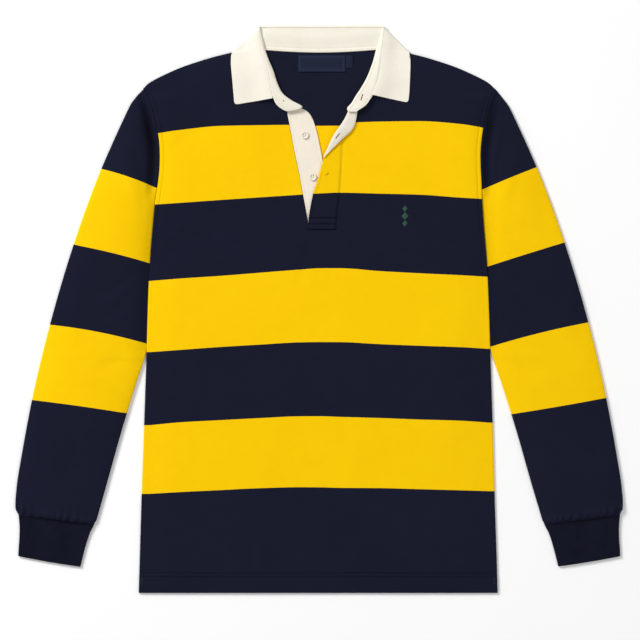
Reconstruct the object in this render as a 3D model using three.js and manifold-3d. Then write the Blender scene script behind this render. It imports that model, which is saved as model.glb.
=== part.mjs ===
// A long-sleeved rugby shirt laid flat, face up. Millimetres, +Z up, +X to the viewer's right,
// +Y towards the collar. The surface that it lies on is z = 0, and x = 0, y = 0 is the middle of its outline.
// Every piece of cloth is a thin closed wall; neighbours at a seam stay SEAM apart.
import * as THREE from 'three';
import { mergeVertices } from 'three/addons/utils/BufferGeometryUtils.js';
import Module from 'manifold-3d';

const wasm = await Module();
wasm.setup();

// ---------------------------------------------------------------- driving sizes
const CLOTH = 1.2;            // body and sleeve jersey
const STAND_CLOTH = 1.2;      // collar stand, two plies pressed
const LEAF_CLOTH = 1.4;       // collar leaf, two plies pressed
const PLACKET_CLOTH = 1.5;    // doubled placket strip
const FACING_CLOTH = 1.0;     // single facing
const RIB = 1.6;              // doubled rib of the cuffs
const LABEL_CLOTH = 1.0;      // woven label with its turned edges
const SEAM = 0.3;             // gap between neighbouring pieces
const AIR = 2.0;              // how far the front rides up off the back, away from its seams
const SLEEVE_AIR = 2.2;       // the same inside a sleeve
const LEAF_UNDER = LEAF_CLOTH + 0.35;   // the back is lifted by this where the leaf lies under it
const BUTTON_RADIUS = 5.4;
const BUTTON_THICK = 2.2;
const BUTTON_HOLE = 0.95;     // radius of each of four holes
const BUTTON_PITCH = 1.7;     // hole centres from the button's middle, each way

// ---------------------------------------------------------------- tables
// Body outline: the left and right edge at each height, hem to shoulder tip.
const BODY = [
  { name: 'hem', y: -391, left: -249.5, right: 248.8 },
  { name: 'hem_fold', y: -365, left: -248.8, right: 248.0 },
  { name: 'low', y: -269, left: -246.3, right: 244.6 },
  { name: 'hip', y: -152, left: -242.5, right: 241.3 },
  { name: 'waist', y: -61, left: -238.4, right: 237.9 },
  { name: 'chest', y: 10, left: -235.9, right: 234.9 },
  { name: 'underarm', y: 62, left: -233.4, right: 232.3 },
  { name: 'armhole_low', y: 120, left: -228.7, right: 227.4 },
  { name: 'armhole_mid', y: 179, left: -223.2, right: 224.9 },
  { name: 'armhole_high', y: 243, left: -221.0, right: 225.0 },
  { name: 'armhole_top', y: 277, left: -227.4, right: 231.2 },
  { name: 'shoulder_tip', y: 305, left: -240.6, right: 244.0 },
];
// Shoulder line: distance from the centre line and height, tip to neck point.
const SHOULDER = [
  { name: 'tip', out: 242.3, y: 305 },
  { name: 'tip_round', out: 232, y: 314.3 },
  { name: 'outer', out: 211, y: 325.3 },
  { name: 'mid', out: 185, y: 336.4 },
  { name: 'inner', out: 150.5, y: 347.4 },
  { name: 'near_neck', out: 128, y: 353.2 },
  { name: 'neck', out: 98, y: 360.5 },
];
const BACK_NECK_DIP = 5.8;    // the back neck seam sags this much at its middle

// Sleeve: the outer fold from the shoulder tip to the cuff seam, distance from the centre line.
const SLEEVE_OUTER = [
  { name: 'tip', out: 242.3, y: 305 },
  { name: 'cap', out: 254, y: 292.2 },
  { name: 'crown', out: 267.8, y: 270.1 },
  { name: 'upper', out: 307.8, y: 179.1 },
  { name: 'biceps', out: 343, y: 79.7 },
  { name: 'elbow', out: 372.6, y: -19.7 },
  { name: 'forearm', out: 396, y: -119 },
  { name: 'lower', out: 414, y: -218.4 },
  { name: 'puff', out: 418.2, y: -257 },
  { name: 'cuff_seam', out: 416, y: -282 },
];
// Sleeve: the underarm edge where it leaves the body's side, to the cuff seam.
const SLEEVE_INNER = [
  { name: 'leaves_body', out: 240.2, y: -66 },
  { name: 'bend', out: 252, y: -102.5 },
  { name: 'forearm', out: 272.5, y: -168.7 },
  { name: 'lower', out: 291.2, y: -234.9 },
  { name: 'cuff_seam', out: 311, y: -296 },
];
// Cuffs: the two ends of the seam and of the bottom edge on each side.
const CUFF = {
  left: { seamOut: [-416, -283], seamIn: [-309.5, -296.6], endOut: [-413.2, -337], endIn: [-329.5, -353] },
  right: { seamOut: [415.3, -283], seamIn: [312.2, -297], endOut: [415.3, -338.2], endIn: [331.6, -353.2] },
};

// Placket, button side: its two edges at each height.
const PLACKET = [
  { name: 'foot', y: 118.3, left: -14.8, right: 21.0 },
  { name: 'low', y: 158.8, left: -21.7, right: 14.1 },
  { name: 'lower_button', y: 194.2, left: -28.1, right: 7.9 },
  { name: 'break', y: 221.1, left: -33.9, right: 2.6 },
  { name: 'upper_button', y: 252.2, left: -39.7, right: -3.8 },
  { name: 'corner', y: 262.3, left: -41.7, right: -8.6 },
  { name: 'top', y: 272.6, left: -43.4, right: -14.0 },
];
// Buttonhole edge of the front: where it rolls outward, and the free edge of the part that is turned out.
const LAPEL = [
  { name: 'break', roll: [6.8, 210.5], free: [9.4, 206.5] },
  { name: 'low', roll: [13.4, 225.2], free: [19.5, 220.0] },
  { name: 'mid', roll: [20.4, 239.8], free: [33.0, 234.6] },
  { name: 'high', roll: [27.9, 251.2], free: [46.6, 247.4] },
  { name: 'upper', roll: [35.0, 261.9], free: [51.8, 259.0] },
  { name: 'top', roll: [39.2, 270.4], free: [54.0, 271.6] },
];
const SLIT = [                // the same edge below the break, down to the foot of the slit
  { name: 'upper', x: 2.0, y: 192.2 },
  { name: 'mid', x: -2.8, y: 174.9 },
  { name: 'lower', x: -7.2, y: 163.0 },
  { name: 'low', x: -13.2, y: 132.1 },
  { name: 'foot', x: -14.2, y: 118.3 },
];

// Collar stand at the fronts. n: on the neck seam. r: where it rolls outward. j: where the leaf joins it.
const STAND_LEFT = [
  { name: 'corner', n: [-96.0, 358.0], r: [-77.5, 374.0], j: [-81.6, 375.2] },
  { name: 'neck_point', n: [-93.0, 350.0], r: [-73.8, 359.1], j: [-78.4, 360.6] },
  { name: 'side', n: [-87.0, 336.0], r: [-68.5, 344.0], j: [-74.0, 346.0] },
  { name: 'upper', n: [-79.0, 318.0], r: [-62.3, 329.5], j: [-69.0, 329.5] },
  { name: 'mid', n: [-72.0, 306.0], r: [-57.1, 313.3], j: [-66.2, 313.3] },
  { name: 'leaf_front', n: [-62.2, 292.6], r: [-50.0, 299.1], j: [-63.5, 294.0] },
  { name: 'tab', n: [-55.6, 283.4], r: [-37.7, 288.9], j: [-57.2, 282.6] },
  { name: 'tab_end', n: [-44.0, 276.9], r: [-22.4, 280.0], j: [-45.6, 275.9] },
];
const STAND_RIGHT = [
  { name: 'corner', n: [97.0, 358.0], r: [84.5, 376.0], j: [88.8, 377.0] },
  { name: 'neck_point', n: [94.5, 350.0], r: [79.0, 359.0], j: [84.4, 360.2] },
  { name: 'side', n: [91.5, 336.0], r: [74.5, 342.0], j: [81.8, 343.0] },
  { name: 'upper', n: [86.0, 318.0], r: [66.2, 320.4], j: [80.4, 320.0] },
  { name: 'mid', n: [78.5, 303.5], r: [58.2, 306.0], j: [76.6, 303.0] },
  { name: 'leaf_front', n: [69.0, 292.5], r: [50.3, 294.0], j: [71.6, 290.0] },
  { name: 'tab', n: [59.5, 284.0], r: [45.2, 285.2], j: [64.6, 281.0] },
  { name: 'tab_end', n: [51.0, 277.9], r: [39.4, 276.5], j: [55.2, 275.6] },
];
// Collar stand behind: from the neck seam to its top edge, left fold to right fold.
const STAND_BACK = [
  { name: 'left_over', n: [-94.0, 358.6], j: [-79.4, 384.0], z: 'front' },
  { name: 'left_fold', n: [-97.6, 362.6], j: [-82.0, 388.0], z: 'fold' },
  { name: 'left_under', n: [-94.0, 361.4], j: [-79.4, 388.2], z: 'back' },
  { name: 'left_quarter', n: [-48.0, 357.0], j: [-45.0, 388.2], z: 'back' },
  { name: 'middle', n: [1.7, 355.4], j: [1.7, 388.0], z: 'back' },
  { name: 'right_quarter', n: [51.0, 357.0], j: [49.0, 388.2], z: 'back' },
  { name: 'right_under', n: [95.0, 361.4], j: [86.4, 388.2], z: 'back' },
  { name: 'right_fold', n: [98.6, 362.6], j: [89.2, 388.0], z: 'fold' },
  { name: 'right_over', n: [95.0, 358.6], j: [86.6, 384.0], z: 'front' },
];
// Collar leaf: j by the stand, e its free edge. It lies on the front, folds round at the shoulders and goes under the back.
const LEAF = [
  { name: 'left_front', j: [-64.3, 291.2], e: [-116.3, 282.6], z: 'front' },
  { name: 'left_low', j: [-67.2, 308.0], e: [-118.0, 302.0], z: 'front' },
  { name: 'left_mid', j: [-70.7, 329.5], e: [-119.7, 322.0], z: 'front' },
  { name: 'left_high', j: [-77.1, 352.0], e: [-121.2, 340.0], z: 'front' },
  { name: 'left_over', j: [-82.5, 377.5], e: [-120.8, 351.0], z: 'front' },
  { name: 'left_near_fold', j: [-81.9, 386.6], e: [-119.8, 354.6], z: 'front' },
  { name: 'left_fold', j: [-82.6, 390.6], e: [-122.8, 358.6], z: 'fold' },
  { name: 'left_under', j: [-78.4, 390.4], e: [-118.4, 356.4], z: 'back' },
  { name: 'left_back', j: [-58.0, 390.9], e: [-74.0, 349.4], z: 'back' },
  { name: 'left_quarter', j: [-28.0, 390.8], e: [-34.0, 347.6], z: 'back' },
  { name: 'middle', j: [1.7, 390.6], e: [1.7, 347.0], z: 'back' },
  { name: 'right_quarter', j: [32.0, 390.8], e: [38.0, 347.6], z: 'back' },
  { name: 'right_back', j: [63.0, 390.9], e: [78.0, 349.4], z: 'back' },
  { name: 'right_under', j: [85.6, 390.4], e: [122.6, 356.4], z: 'back' },
  { name: 'right_fold', j: [89.6, 390.6], e: [127.4, 358.6], z: 'fold' },
  { name: 'right_near_fold', j: [88.9, 386.6], e: [124.4, 354.6], z: 'front' },
  { name: 'right_over', j: [89.9, 377.5], e: [125.6, 351.0], z: 'front' },
  { name: 'right_high', j: [84.1, 350.0], e: [126.6, 340.0], z: 'front' },
  { name: 'right_mid', j: [82.3, 326.0], e: [126.0, 320.0], z: 'front' },
  { name: 'right_low', j: [79.7, 309.0], e: [125.2, 302.0], z: 'front' },
  { name: 'right_front', j: [74.5, 296.2], e: [123.6, 287.0], z: 'front' },
];
const BUTTONS = [
  { name: 'button_collar', x: -48.6, y: 288.2, on: 'stand' },
  { name: 'button_upper', x: -19.4, y: 241.2, on: 'placket' },
  { name: 'button_lower', x: -8.6, y: 183.5, on: 'placket' },
];
const LABELS = [
  { name: 'neck_label', x0: -28.9, x1: 37.0, y0: 328.2, y1: 351.6 },
  { name: 'size_label', x0: 37.4, x1: 46.9, y0: 333.6, y1: 351.0 },
];

// Looks of each kind of cloth.
const FINISH = {
  navy: { color: 0x1e1f2e, roughness: 0.92, metalness: 0 },
  cream: { color: 0xf3eee2, roughness: 0.85, metalness: 0 },
  rib: { color: 0x191b28, roughness: 0.95, metalness: 0 },
  label: { color: 0x1d2942, roughness: 0.6, metalness: 0 },
  button: { color: 0xefe6d3, roughness: 0.35, metalness: 0 },
};

// ---------------------------------------------------------------- helpers
const ease = (a, b, x) => {
  const t = THREE.MathUtils.clamp((x - a) / (b - a), 0, 1);
  return t * t * (3 - 2 * t);
};
const mix = (a, b, t) => a + (b - a) * t;
// Value of one column at another column's value, straight between rows.
function look(table, key, at, value) {
  const rows = [...table].sort((p, q) => p[key] - q[key]);
  const x = THREE.MathUtils.clamp(at, rows[0][key], rows[rows.length - 1][key]);
  for (let i = 1; i < rows.length; i++) {
    if (x <= rows[i][key]) {
      const t = (x - rows[i - 1][key]) / (rows[i][key] - rows[i - 1][key]);
      return mix(rows[i - 1][value], rows[i][value], t);
    }
  }
  return rows[rows.length - 1][value];
}
// Point on a run of straight pieces, by its fraction of the length.
function along(points, t) {
  const len = [0];
  for (let i = 1; i < points.length; i++) {
    len.push(len[i - 1] + Math.hypot(points[i][0] - points[i - 1][0], points[i][1] - points[i - 1][1]));
  }
  const at = t * len[len.length - 1];
  for (let i = 1; i < points.length; i++) {
    if (at <= len[i] + 1e-9) {
      const f = (at - len[i - 1]) / (len[i] - len[i - 1]);
      return [mix(points[i - 1][0], points[i][0], f), mix(points[i - 1][1], points[i][1], f)];
    }
  }
  return points[points.length - 1];
}
const smoothRun = (points, n) => {
  const c = new THREE.CatmullRomCurve3(points.map((p) => new THREE.Vector3(p[0], p[1], 0)), false, 'centripetal');
  return Array.from({ length: n + 1 }, (_, i) => { const p = c.getPointAt(i / n); return [p.x, p.y]; });
};
// Patch spanned by four edges: b(u) low, t(u) high, l(v) left, r(v) right.
const patch = (b, t, l, r) => (u, v) => [0, 1].map((k) =>
  (1 - v) * b(u)[k] + v * t(u)[k] + (1 - u) * l(v)[k] + u * r(v)[k]
  - ((1 - u) * (1 - v) * b(0)[k] + u * (1 - v) * b(1)[k] + (1 - u) * v * t(0)[k] + u * v * t(1)[k]));

function geometry(vertices, triangles) {
  const g = new THREE.BufferGeometry();
  g.setAttribute('position', new THREE.Float32BufferAttribute(vertices.flat(), 3));
  g.setIndex(triangles.flat());
  return g;
}
// Closed wall between two grids of the same size, low[i][j] and high[i][j].
function between(low, high) {
  const n = low.length, m = low[0].length;
  const vertices = [...low.flat(), ...high.flat()];
  const L = (i, j) => i * m + j, H = (i, j) => n * m + i * m + j;
  const triangles = [];
  const quad = (a, b, c, d) => triangles.push([a, b, c], [a, c, d]);
  for (let i = 0; i < n - 1; i++) {
    for (let j = 0; j < m - 1; j++) {
      quad(H(i, j), H(i, j + 1), H(i + 1, j + 1), H(i + 1, j));
      quad(L(i, j), L(i + 1, j), L(i + 1, j + 1), L(i, j + 1));
    }
  }
  for (let i = 0; i < n - 1; i++) {
    quad(L(i, 0), H(i, 0), H(i + 1, 0), L(i + 1, 0));
    quad(L(i, m - 1), L(i + 1, m - 1), H(i + 1, m - 1), H(i, m - 1));
  }
  for (let j = 0; j < m - 1; j++) {
    quad(L(0, j), L(0, j + 1), H(0, j + 1), H(0, j));
    quad(L(n - 1, j), H(n - 1, j), H(n - 1, j + 1), L(n - 1, j + 1));
  }
  return outward(geometry(vertices, triangles));
}
// Turns every face round if the body is inside out.
function outward(g) {
  const p = g.getAttribute('position'), ix = g.getIndex().array;
  const a = new THREE.Vector3(), b = new THREE.Vector3(), c = new THREE.Vector3();
  let volume = 0;
  for (let i = 0; i < ix.length; i += 3) {
    a.fromBufferAttribute(p, ix[i]); b.fromBufferAttribute(p, ix[i + 1]); c.fromBufferAttribute(p, ix[i + 2]);
    volume += a.dot(b.cross(c));
  }
  if (volume < 0) {
    const flipped = Array.from(ix);
    for (let i = 0; i < flipped.length; i += 3) [flipped[i + 1], flipped[i + 2]] = [flipped[i + 2], flipped[i + 1]];
    g.setIndex(flipped);
  }
  return g;
}
// Wall of even thickness about a grid of middle points.
function wall(mid, thick) {
  const n = mid.length, m = mid[0].length;
  const V = (i, j) => new THREE.Vector3(...mid[THREE.MathUtils.clamp(i, 0, n - 1)][THREE.MathUtils.clamp(j, 0, m - 1)]);
  const low = [], high = [];
  for (let i = 0; i < n; i++) {
    low.push([]); high.push([]);
    for (let j = 0; j < m; j++) {
      const du = V(i + 1, j).sub(V(i, j)).normalize().add(V(i, j).sub(V(i - 1, j)).normalize());
      const dv = V(i, j + 1).sub(V(i, j)).normalize().add(V(i, j).sub(V(i, j - 1)).normalize());
      const normal = du.cross(dv).normalize().multiplyScalar(thick / 2);
      low[i].push(V(i, j).sub(normal).toArray());
      high[i].push(V(i, j).add(normal).toArray());
    }
  }
  return between(low, high);
}
// Hollow flattened tube, open at both ends: outer[i][k] and inner[i][k] are rings of points.
function tube(outer, inner) {
  const n = outer.length, m = outer[0].length;
  const vertices = [...outer.flat(), ...inner.flat()];
  const O = (i, k) => i * m + (k % m), I = (i, k) => n * m + i * m + (k % m);
  const triangles = [];
  const quad = (a, b, c, d) => triangles.push([a, b, c], [a, c, d]);
  for (let k = 0; k < m; k++) {
    for (let i = 0; i < n - 1; i++) {
      quad(O(i, k), O(i, k + 1), O(i + 1, k + 1), O(i + 1, k));
      quad(I(i, k), I(i + 1, k), I(i + 1, k + 1), I(i, k + 1));
    }
    quad(O(0, k), I(0, k), I(0, k + 1), O(0, k + 1));
    quad(O(n - 1, k), O(n - 1, k + 1), I(n - 1, k + 1), I(n - 1, k));
  }
  return outward(geometry(vertices, triangles));
}
function toSolid(g) {
  const c = g.clone();
  c.deleteAttribute('normal');
  c.deleteAttribute('uv');
  const w = mergeVertices(c, 1e-5);
  return new wasm.Manifold(new wasm.Mesh({
    numProp: 3,
    vertProperties: Float32Array.from(w.getAttribute('position').array),
    triVerts: Uint32Array.from(w.getIndex().array),
  }));
}
function fromSolid(s) {
  const mesh = s.getMesh();
  const g = new THREE.BufferGeometry();
  const points = [];
  for (let i = 0; i < mesh.numVert; i++) for (let k = 0; k < 3; k++) points.push(mesh.vertProperties[i * mesh.numProp + k]);
  g.setAttribute('position', new THREE.Float32BufferAttribute(points, 3));
  g.setIndex(Array.from(mesh.triVerts));
  return g;
}
function prism(outline, z0, z1) {
  const shape = new THREE.Shape(outline.map((p) => new THREE.Vector2(p[0], p[1])));
  const g = new THREE.ExtrudeGeometry(shape, { depth: z1 - z0, bevelEnabled: false, steps: 1 });
  g.translate(0, 0, z0);
  return g;
}

// ---------------------------------------------------------------- heights of the layers
const edgeLeft = (y) => look(BODY, 'y', y, 'left');
const edgeRight = (y) => look(BODY, 'y', y, 'right');
const shoulderY = (x) => (Math.abs(x) <= 98 ? 360.5 : look(SHOULDER, 'out', Math.abs(x), 'y'));
// Underside of the back: on the surface, but lifted where the collar leaf lies under it.
const backLow = (x, y) => LEAF_UNDER * ease(285, 332, y) * (1 - ease(142, 190, Math.abs(x - 1.7)));
const backHigh = (x, y) => backLow(x, y) + CLOTH;
// Air between back and front: none at the seams, and little beside the button strip's outer edge.
function air(x, y) {
  const inset = Math.min(x - edgeLeft(y), edgeRight(y) - x, y - BODY[0].y, shoulderY(x) - y);
  const strip = look(PLACKET, 'y', y, 'left') - x;
  const dip = y > 130 && strip > -3 ? ease(130, 190, y) * Math.exp(-((Math.max(strip - 16, 0) / 30) ** 2)) : 0;
  return AIR * ease(0, 42, inset) * (1 - 0.85 * dip);
}
const frontLow = (x, y) => backHigh(x, y) + SEAM + air(x, y);
const frontHigh = (x, y) => frontLow(x, y) + CLOTH;

// ---------------------------------------------------------------- body panels
const tip = SHOULDER[0], hem = BODY[0];
const shoulderRun = SHOULDER.map((s) => [s.out, s.y]);
const neckFraction = 0.3;     // share of the top edge, from each tip, that is shoulder
function topEdge(dip) {
  return (u) => {
    if (u < neckFraction) { const p = along(shoulderRun, u / neckFraction); return [-p[0] + 0.9, p[1]]; }
    if (u > 1 - neckFraction) { const p = along(shoulderRun, (1 - u) / neckFraction); return [p[0] + 0.9, p[1]]; }
    const w = (u - neckFraction) / (1 - 2 * neckFraction);
    return [mix(-97.1, 98.9, w), 360.5 - dip * Math.sin(Math.PI * w)];
  };
}
const sideY = (v) => mix(hem.y, tip.y, v);
const bodyPatch = (dip) => patch(
  (u) => [mix(hem.left, hem.right, u), hem.y + 1.2 * Math.sin(Math.PI * u)],
  topEdge(dip),
  (v) => [edgeLeft(sideY(v)), sideY(v)],
  (v) => [edgeRight(sideY(v)), sideY(v)],
);
const COLUMNS = [0, 0.02, 0.06, 0.13, 0.21, 0.3, 0.36, 0.41, 0.445, 0.475, 0.5, 0.53, 0.56, 0.6, 0.65, 0.7, 0.79, 0.87, 0.94, 0.98, 1];
const ROW_HEIGHTS = [-391, -365, -300, -210, -152, -61, 10, 62, 90, 120, 150, 179, 205, 225, 243, 262, 277, 290, 305];
function slab(shape, low, high, columns = COLUMNS, rows = ROW_HEIGHTS.map((y) => (y - hem.y) / (tip.y - hem.y))) {
  const grid = (z) => rows.map((v) => columns.map((u) => { const [x, y] = shape(u, v); return [x, y, z(x, y)]; }));
  return between(grid(low), grid(high));
}
const backGeometry = slab(bodyPatch(BACK_NECK_DIP), backLow, backHigh);

// The front is cut out for the neck and slit for the placket.
const half = SEAM / 2;
const neckOutline = [
  [-97.2, 430], [-97.2, 360.9],
  ...STAND_LEFT.map((s) => [s.n[0] - half, s.n[1] - half]).slice(1, -1),
  [-44.6, 276.2],
  ...[...PLACKET].reverse().map((p) => [p.left - SEAM, p.y]),
  [SLIT[4].x, PLACKET[0].y - 1.0],
  ...[...SLIT].reverse().map((p) => [p.x, p.y]),
  ...LAPEL.map((p) => p.roll),
  ...[...STAND_RIGHT].reverse().map((s) => [s.n[0] + half, s.n[1] - half]).slice(0, -1),
  [98.6, 360.9], [98.6, 430],
];
// Folded band: from a seam point n in to a roll r and back out to j, lower layer at zl, upper at zu.
function foldedBand(stations, thick) {
  return stations.map((s) => {
    const radius = (s.zu - s.zl) / 2;
    const toward = (a, b, d) => {
      const l = Math.hypot(b[0] - a[0], b[1] - a[1]);
      return [a[0] + (b[0] - a[0]) * d / l, a[1] + (b[1] - a[1]) * d / l];
    };
    const inN = toward(s.r, s.n, thick / 2 + radius), inJ = toward(s.r, s.j, thick / 2 + radius);
    const apexN = toward(s.r, s.n, thick / 2), apexJ = toward(s.r, s.j, thick / 2);
    const apex = [(apexN[0] + apexJ[0]) / 2, (apexN[1] + apexJ[1]) / 2];
    const bend = 0.7071;
    const lowBend = [mix(inN[0], apexN[0], bend), mix(inN[1], apexN[1], bend)];
    const highBend = [mix(inJ[0], apexJ[0], bend), mix(inJ[1], apexJ[1], bend)];
    return [
      [...s.n, s.zl],
      [mix(s.n[0], inN[0], 0.5), mix(s.n[1], inN[1], 0.5), s.zl],
      [...inN, s.zl],
      [...lowBend, s.zl + radius * (1 - bend)],
      [...apex, s.zl + radius],
      [...highBend, s.zu - radius * (1 - bend)],
      [...inJ, s.zu],
      [mix(s.j[0], inJ[0], 0.5), mix(s.j[1], inJ[1], 0.5), s.zu],
      [...s.j, s.zu],
    ];
  });
}
const lapelLow = frontLow(30, 240) + CLOTH / 2;
const lapelHigh = lapelLow + CLOTH + 0.6;
const lapelStations = LAPEL.map((p) => ({
  n: [p.roll[0] + 9, p.roll[1] - 5], r: p.roll, j: p.free, zl: lapelLow, zu: lapelHigh,
}));
const frontPanel = toSolid(slab(bodyPatch(0), frontLow, frontHigh)).subtract(toSolid(prism(neckOutline, -5, 40)));
const turnedOut = toSolid(wall(foldedBand(lapelStations, CLOTH - 0.05), CLOTH - 0.05));
const frontGeometry = fromSolid(frontPanel.add(turnedOut));

// ---------------------------------------------------------------- placket, facing, labels
const placketShape = (u, v) => {
  const y = mix(PLACKET[0].y, PLACKET[PLACKET.length - 1].y, v);
  return [mix(look(PLACKET, 'y', y, 'left'), look(PLACKET, 'y', y, 'right'), u), y + (v === 1 ? mix(1.2, 0.2, u) : 0)];
};
const placketLow = (x, y) => backHigh(x, y) + SEAM;
const placketHigh = (x, y) => placketLow(x, y) + PLACKET_CLOTH;
const placketGeometry = slab(placketShape, placketLow, placketHigh, [0, 0.33, 0.66, 1],
  PLACKET.map((p) => (p.y - PLACKET[0].y) / (PLACKET[PLACKET.length - 1].y - PLACKET[0].y)));

const facingLow = lapelHigh + CLOTH / 2 + SEAM;
const facingGeometry = between(...[facingLow, facingLow + FACING_CLOTH].map((z) =>
  LAPEL.map((p) => [0, 0.5, 1].map((f) => [mix(p.roll[0] + 0.4, p.free[0], f), mix(p.roll[1], p.free[1], f), z]))));

const labelGeometry = (l) => slab(
  (u, v) => [mix(l.x0, l.x1, u), mix(l.y0, l.y1, v)],
  (x, y) => backHigh(x, y) + SEAM, (x, y) => backHigh(x, y) + SEAM + LABEL_CLOTH,
  [0, 0.33, 0.67, 1], [0, 0.33, 0.67, 1]);

// ---------------------------------------------------------------- sleeves and cuffs
const SLEEVE_STEPS = 18;
const ACROSS = [0.1, 0.3, 0.5, 0.7, 0.9];
function flatTube(shape, steps, thick, height) {
  const outer = [], inner = [];
  for (let i = 0; i <= steps; i++) {
    const u = i / steps;
    const a = shape(u, 0), b = shape(u, 1);
    const width = Math.hypot(b[0] - a[0], b[1] - a[1]);
    const round = height(u, 0) / 2;
    const ring = (inset, zLow, drop) => {
      const d0 = inset / width, d1 = (inset + (round - thick * (drop ? 1 : 0)) * 0.9) / width;
      const across = [d1, ...ACROSS, 1 - d1];
      const place = (v, z) => [...shape(u, v), z];
      return [
        place(d0, round),
        ...across.map((v) => place(v, height(u, v) - drop)),
        place(1 - d0, round),
        ...[...across].reverse().map((v) => place(v, zLow)),
      ];
    };
    outer.push(ring(0, 0, 0));
    inner.push(ring(thick, thick, thick));
  }
  return tube(outer, inner);
}
function sleeveGeometry(side) {
  const s = side === 'left' ? -1 : 1;
  const edge = side === 'left' ? edgeLeft : edgeRight;
  const clear = SEAM + 0.35;
  const underarm = BODY.find((r) => r.name === 'underarm').y;
  const bodyRun = (y0, y1, n) => Array.from({ length: n + 1 }, (_, i) => {
    const y = mix(y0, y1, i / n);
    return [edge(y) + s * clear, y];
  });
  const armhole = bodyRun(tip.y, underarm, 40);
  const innerRun = [
    ...bodyRun(underarm, -50, 12),
    ...smoothRun(SLEEVE_INNER.map((r) => [s * r.out, r.y]), 16),
  ];
  const outerRun = [armhole[0], ...smoothRun(SLEEVE_OUTER.map((r) => [s * r.out, r.y]), 30).slice(1)];
  const end0 = outerRun[outerRun.length - 1], end1 = innerRun[innerRun.length - 1];
  // u runs down the sleeve and v across it, outer fold to underarm edge
  const p = patch((u) => along(outerRun, u), (u) => along(innerRun, u),
    (v) => along(armhole, v), (v) => [mix(end0[0], end1[0], v), mix(end0[1], end1[1], v)]);
  const base = 2 * CLOTH + SEAM;
  const height = (u, v) => base + 0.3 * Math.sin(Math.PI * Math.min(u * 6, 0.5))
    + SLEEVE_AIR * Math.sin(Math.PI * v) * ease(0, 0.16, u) * (1 - 0.5 * ease(0.9, 1, u));
  return flatTube(p, SLEEVE_STEPS, CLOTH, height);
}
function cuffGeometry(side) {
  const c = CUFF[side];
  const p = (u, v) => {
    const out = [mix(c.seamOut[0], c.endOut[0], u), mix(c.seamOut[1] - SEAM, c.endOut[1], u)];
    const inn = [mix(c.seamIn[0], c.endIn[0], u), mix(c.seamIn[1] - SEAM, c.endIn[1], u)];
    const waist = 1.6 * Math.sin(Math.PI * u) * (v - 0.5) * 2 * (side === 'left' ? 1 : -1);
    return [mix(out[0], inn[0], v) - waist, mix(out[1], inn[1], v)];
  };
  return flatTube(p, 4, RIB, () => 2 * RIB + SEAM + 0.3);
}

// ---------------------------------------------------------------- collar
const standHeights = (stations, tabRise) => stations.map((s, i) => {
  const low = frontLow(s.n[0], s.n[1]) + CLOTH / 2;
  const rise = tabRise * ease(3, 5, i);
  return { ...s, zl: low, zu: low + STAND_CLOTH + 0.6 + rise };
});
const BUTTON_ROOM = BUTTON_THICK + 0.6;
const standLeft = standHeights(STAND_LEFT, BUTTON_ROOM);
const standRight = standHeights(STAND_RIGHT, 0);
const backMid = LEAF_UNDER + CLOTH / 2;
const sideMid = standLeft[0].zl;
const bandHeight = { back: backMid, fold: (backMid + sideMid) / 2, front: sideMid };
const standBack = wall(STAND_BACK.map((s) => [0, 0.25, 0.5, 0.75, 1].map((f) =>
  [mix(s.n[0], s.j[0], f), mix(s.n[1], s.j[1], f), bandHeight[s.z]])), STAND_CLOTH - 0.1);
const standGeometry = fromSolid(toSolid(standBack)
  .add(toSolid(wall(foldedBand(standLeft, STAND_CLOTH), STAND_CLOTH)))
  .add(toSolid(wall(foldedBand(standRight, STAND_CLOTH), STAND_CLOTH))));

// The leaf rests on the front, and beside the stand it is level with it.
const leafTopAt = (side, y) => {
  const run = side < 0 ? standLeft : standRight;
  return look(run.map((s) => ({ y: s.j[1], z: s.zu })), 'y', y, 'z');
};
function leafPoint(s, f) {
  const x = mix(s.j[0], s.e[0], f), y = mix(s.j[1], s.e[1], f);
  const rest = frontHigh(x, Math.min(y, shoulderY(x))) + SEAM + LEAF_CLOTH / 2 + 0.15;
  const beside = leafTopAt(Math.sign(s.j[0]), s.j[1]);
  const over = Math.max(rest, mix(beside, rest, ease(0, 0.85, f)));
  const under = LEAF_CLOTH / 2;
  if (s.z === 'front') return [x, y, over];
  if (s.z === 'fold') return [x, y, (over + under) / 2];
  return [x, y, under];
}
const leafMid = LEAF.map((s) => {
  const row = [0, 0.08, 0.2, 0.4, 0.6, 0.8, 1].map((f) => leafPoint(s, f));
  return row;
});
const leafGeometry = wall(leafMid, LEAF_CLOTH);

// ---------------------------------------------------------------- buttons
function buttonGeometry(b) {
  const r = BUTTON_RADIUS, t = BUTTON_THICK;
  const profile = [[0, 0], [r * 0.8, 0], [r, t * 0.35], [r, t * 0.75], [r * 0.86, t], [r * 0.68, t * 0.82], [0, t * 0.82]];
  const disc = new THREE.LatheGeometry(profile.map((p) => new THREE.Vector2(...p)), 20);
  disc.rotateX(Math.PI / 2);
  let solid = toSolid(outward(mergeVertices((disc.deleteAttribute('normal'), disc.deleteAttribute('uv'), disc), 1e-5)));
  for (const [dx, dy] of [[1, 1], [1, -1], [-1, 1], [-1, -1]]) {
    const hole = new THREE.CylinderGeometry(BUTTON_HOLE, BUTTON_HOLE, t * 3, 8);
    hole.rotateX(Math.PI / 2);
    hole.translate(dx * BUTTON_PITCH, dy * BUTTON_PITCH, t / 2);
    solid = solid.subtract(toSolid(hole));
  }
  return fromSolid(solid);
}
const buttonBase = (b) => (b.on === 'placket'
  ? placketHigh(b.x, b.y) + SEAM
  : standLeft[6].zl + STAND_CLOTH / 2 + SEAM);

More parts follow.
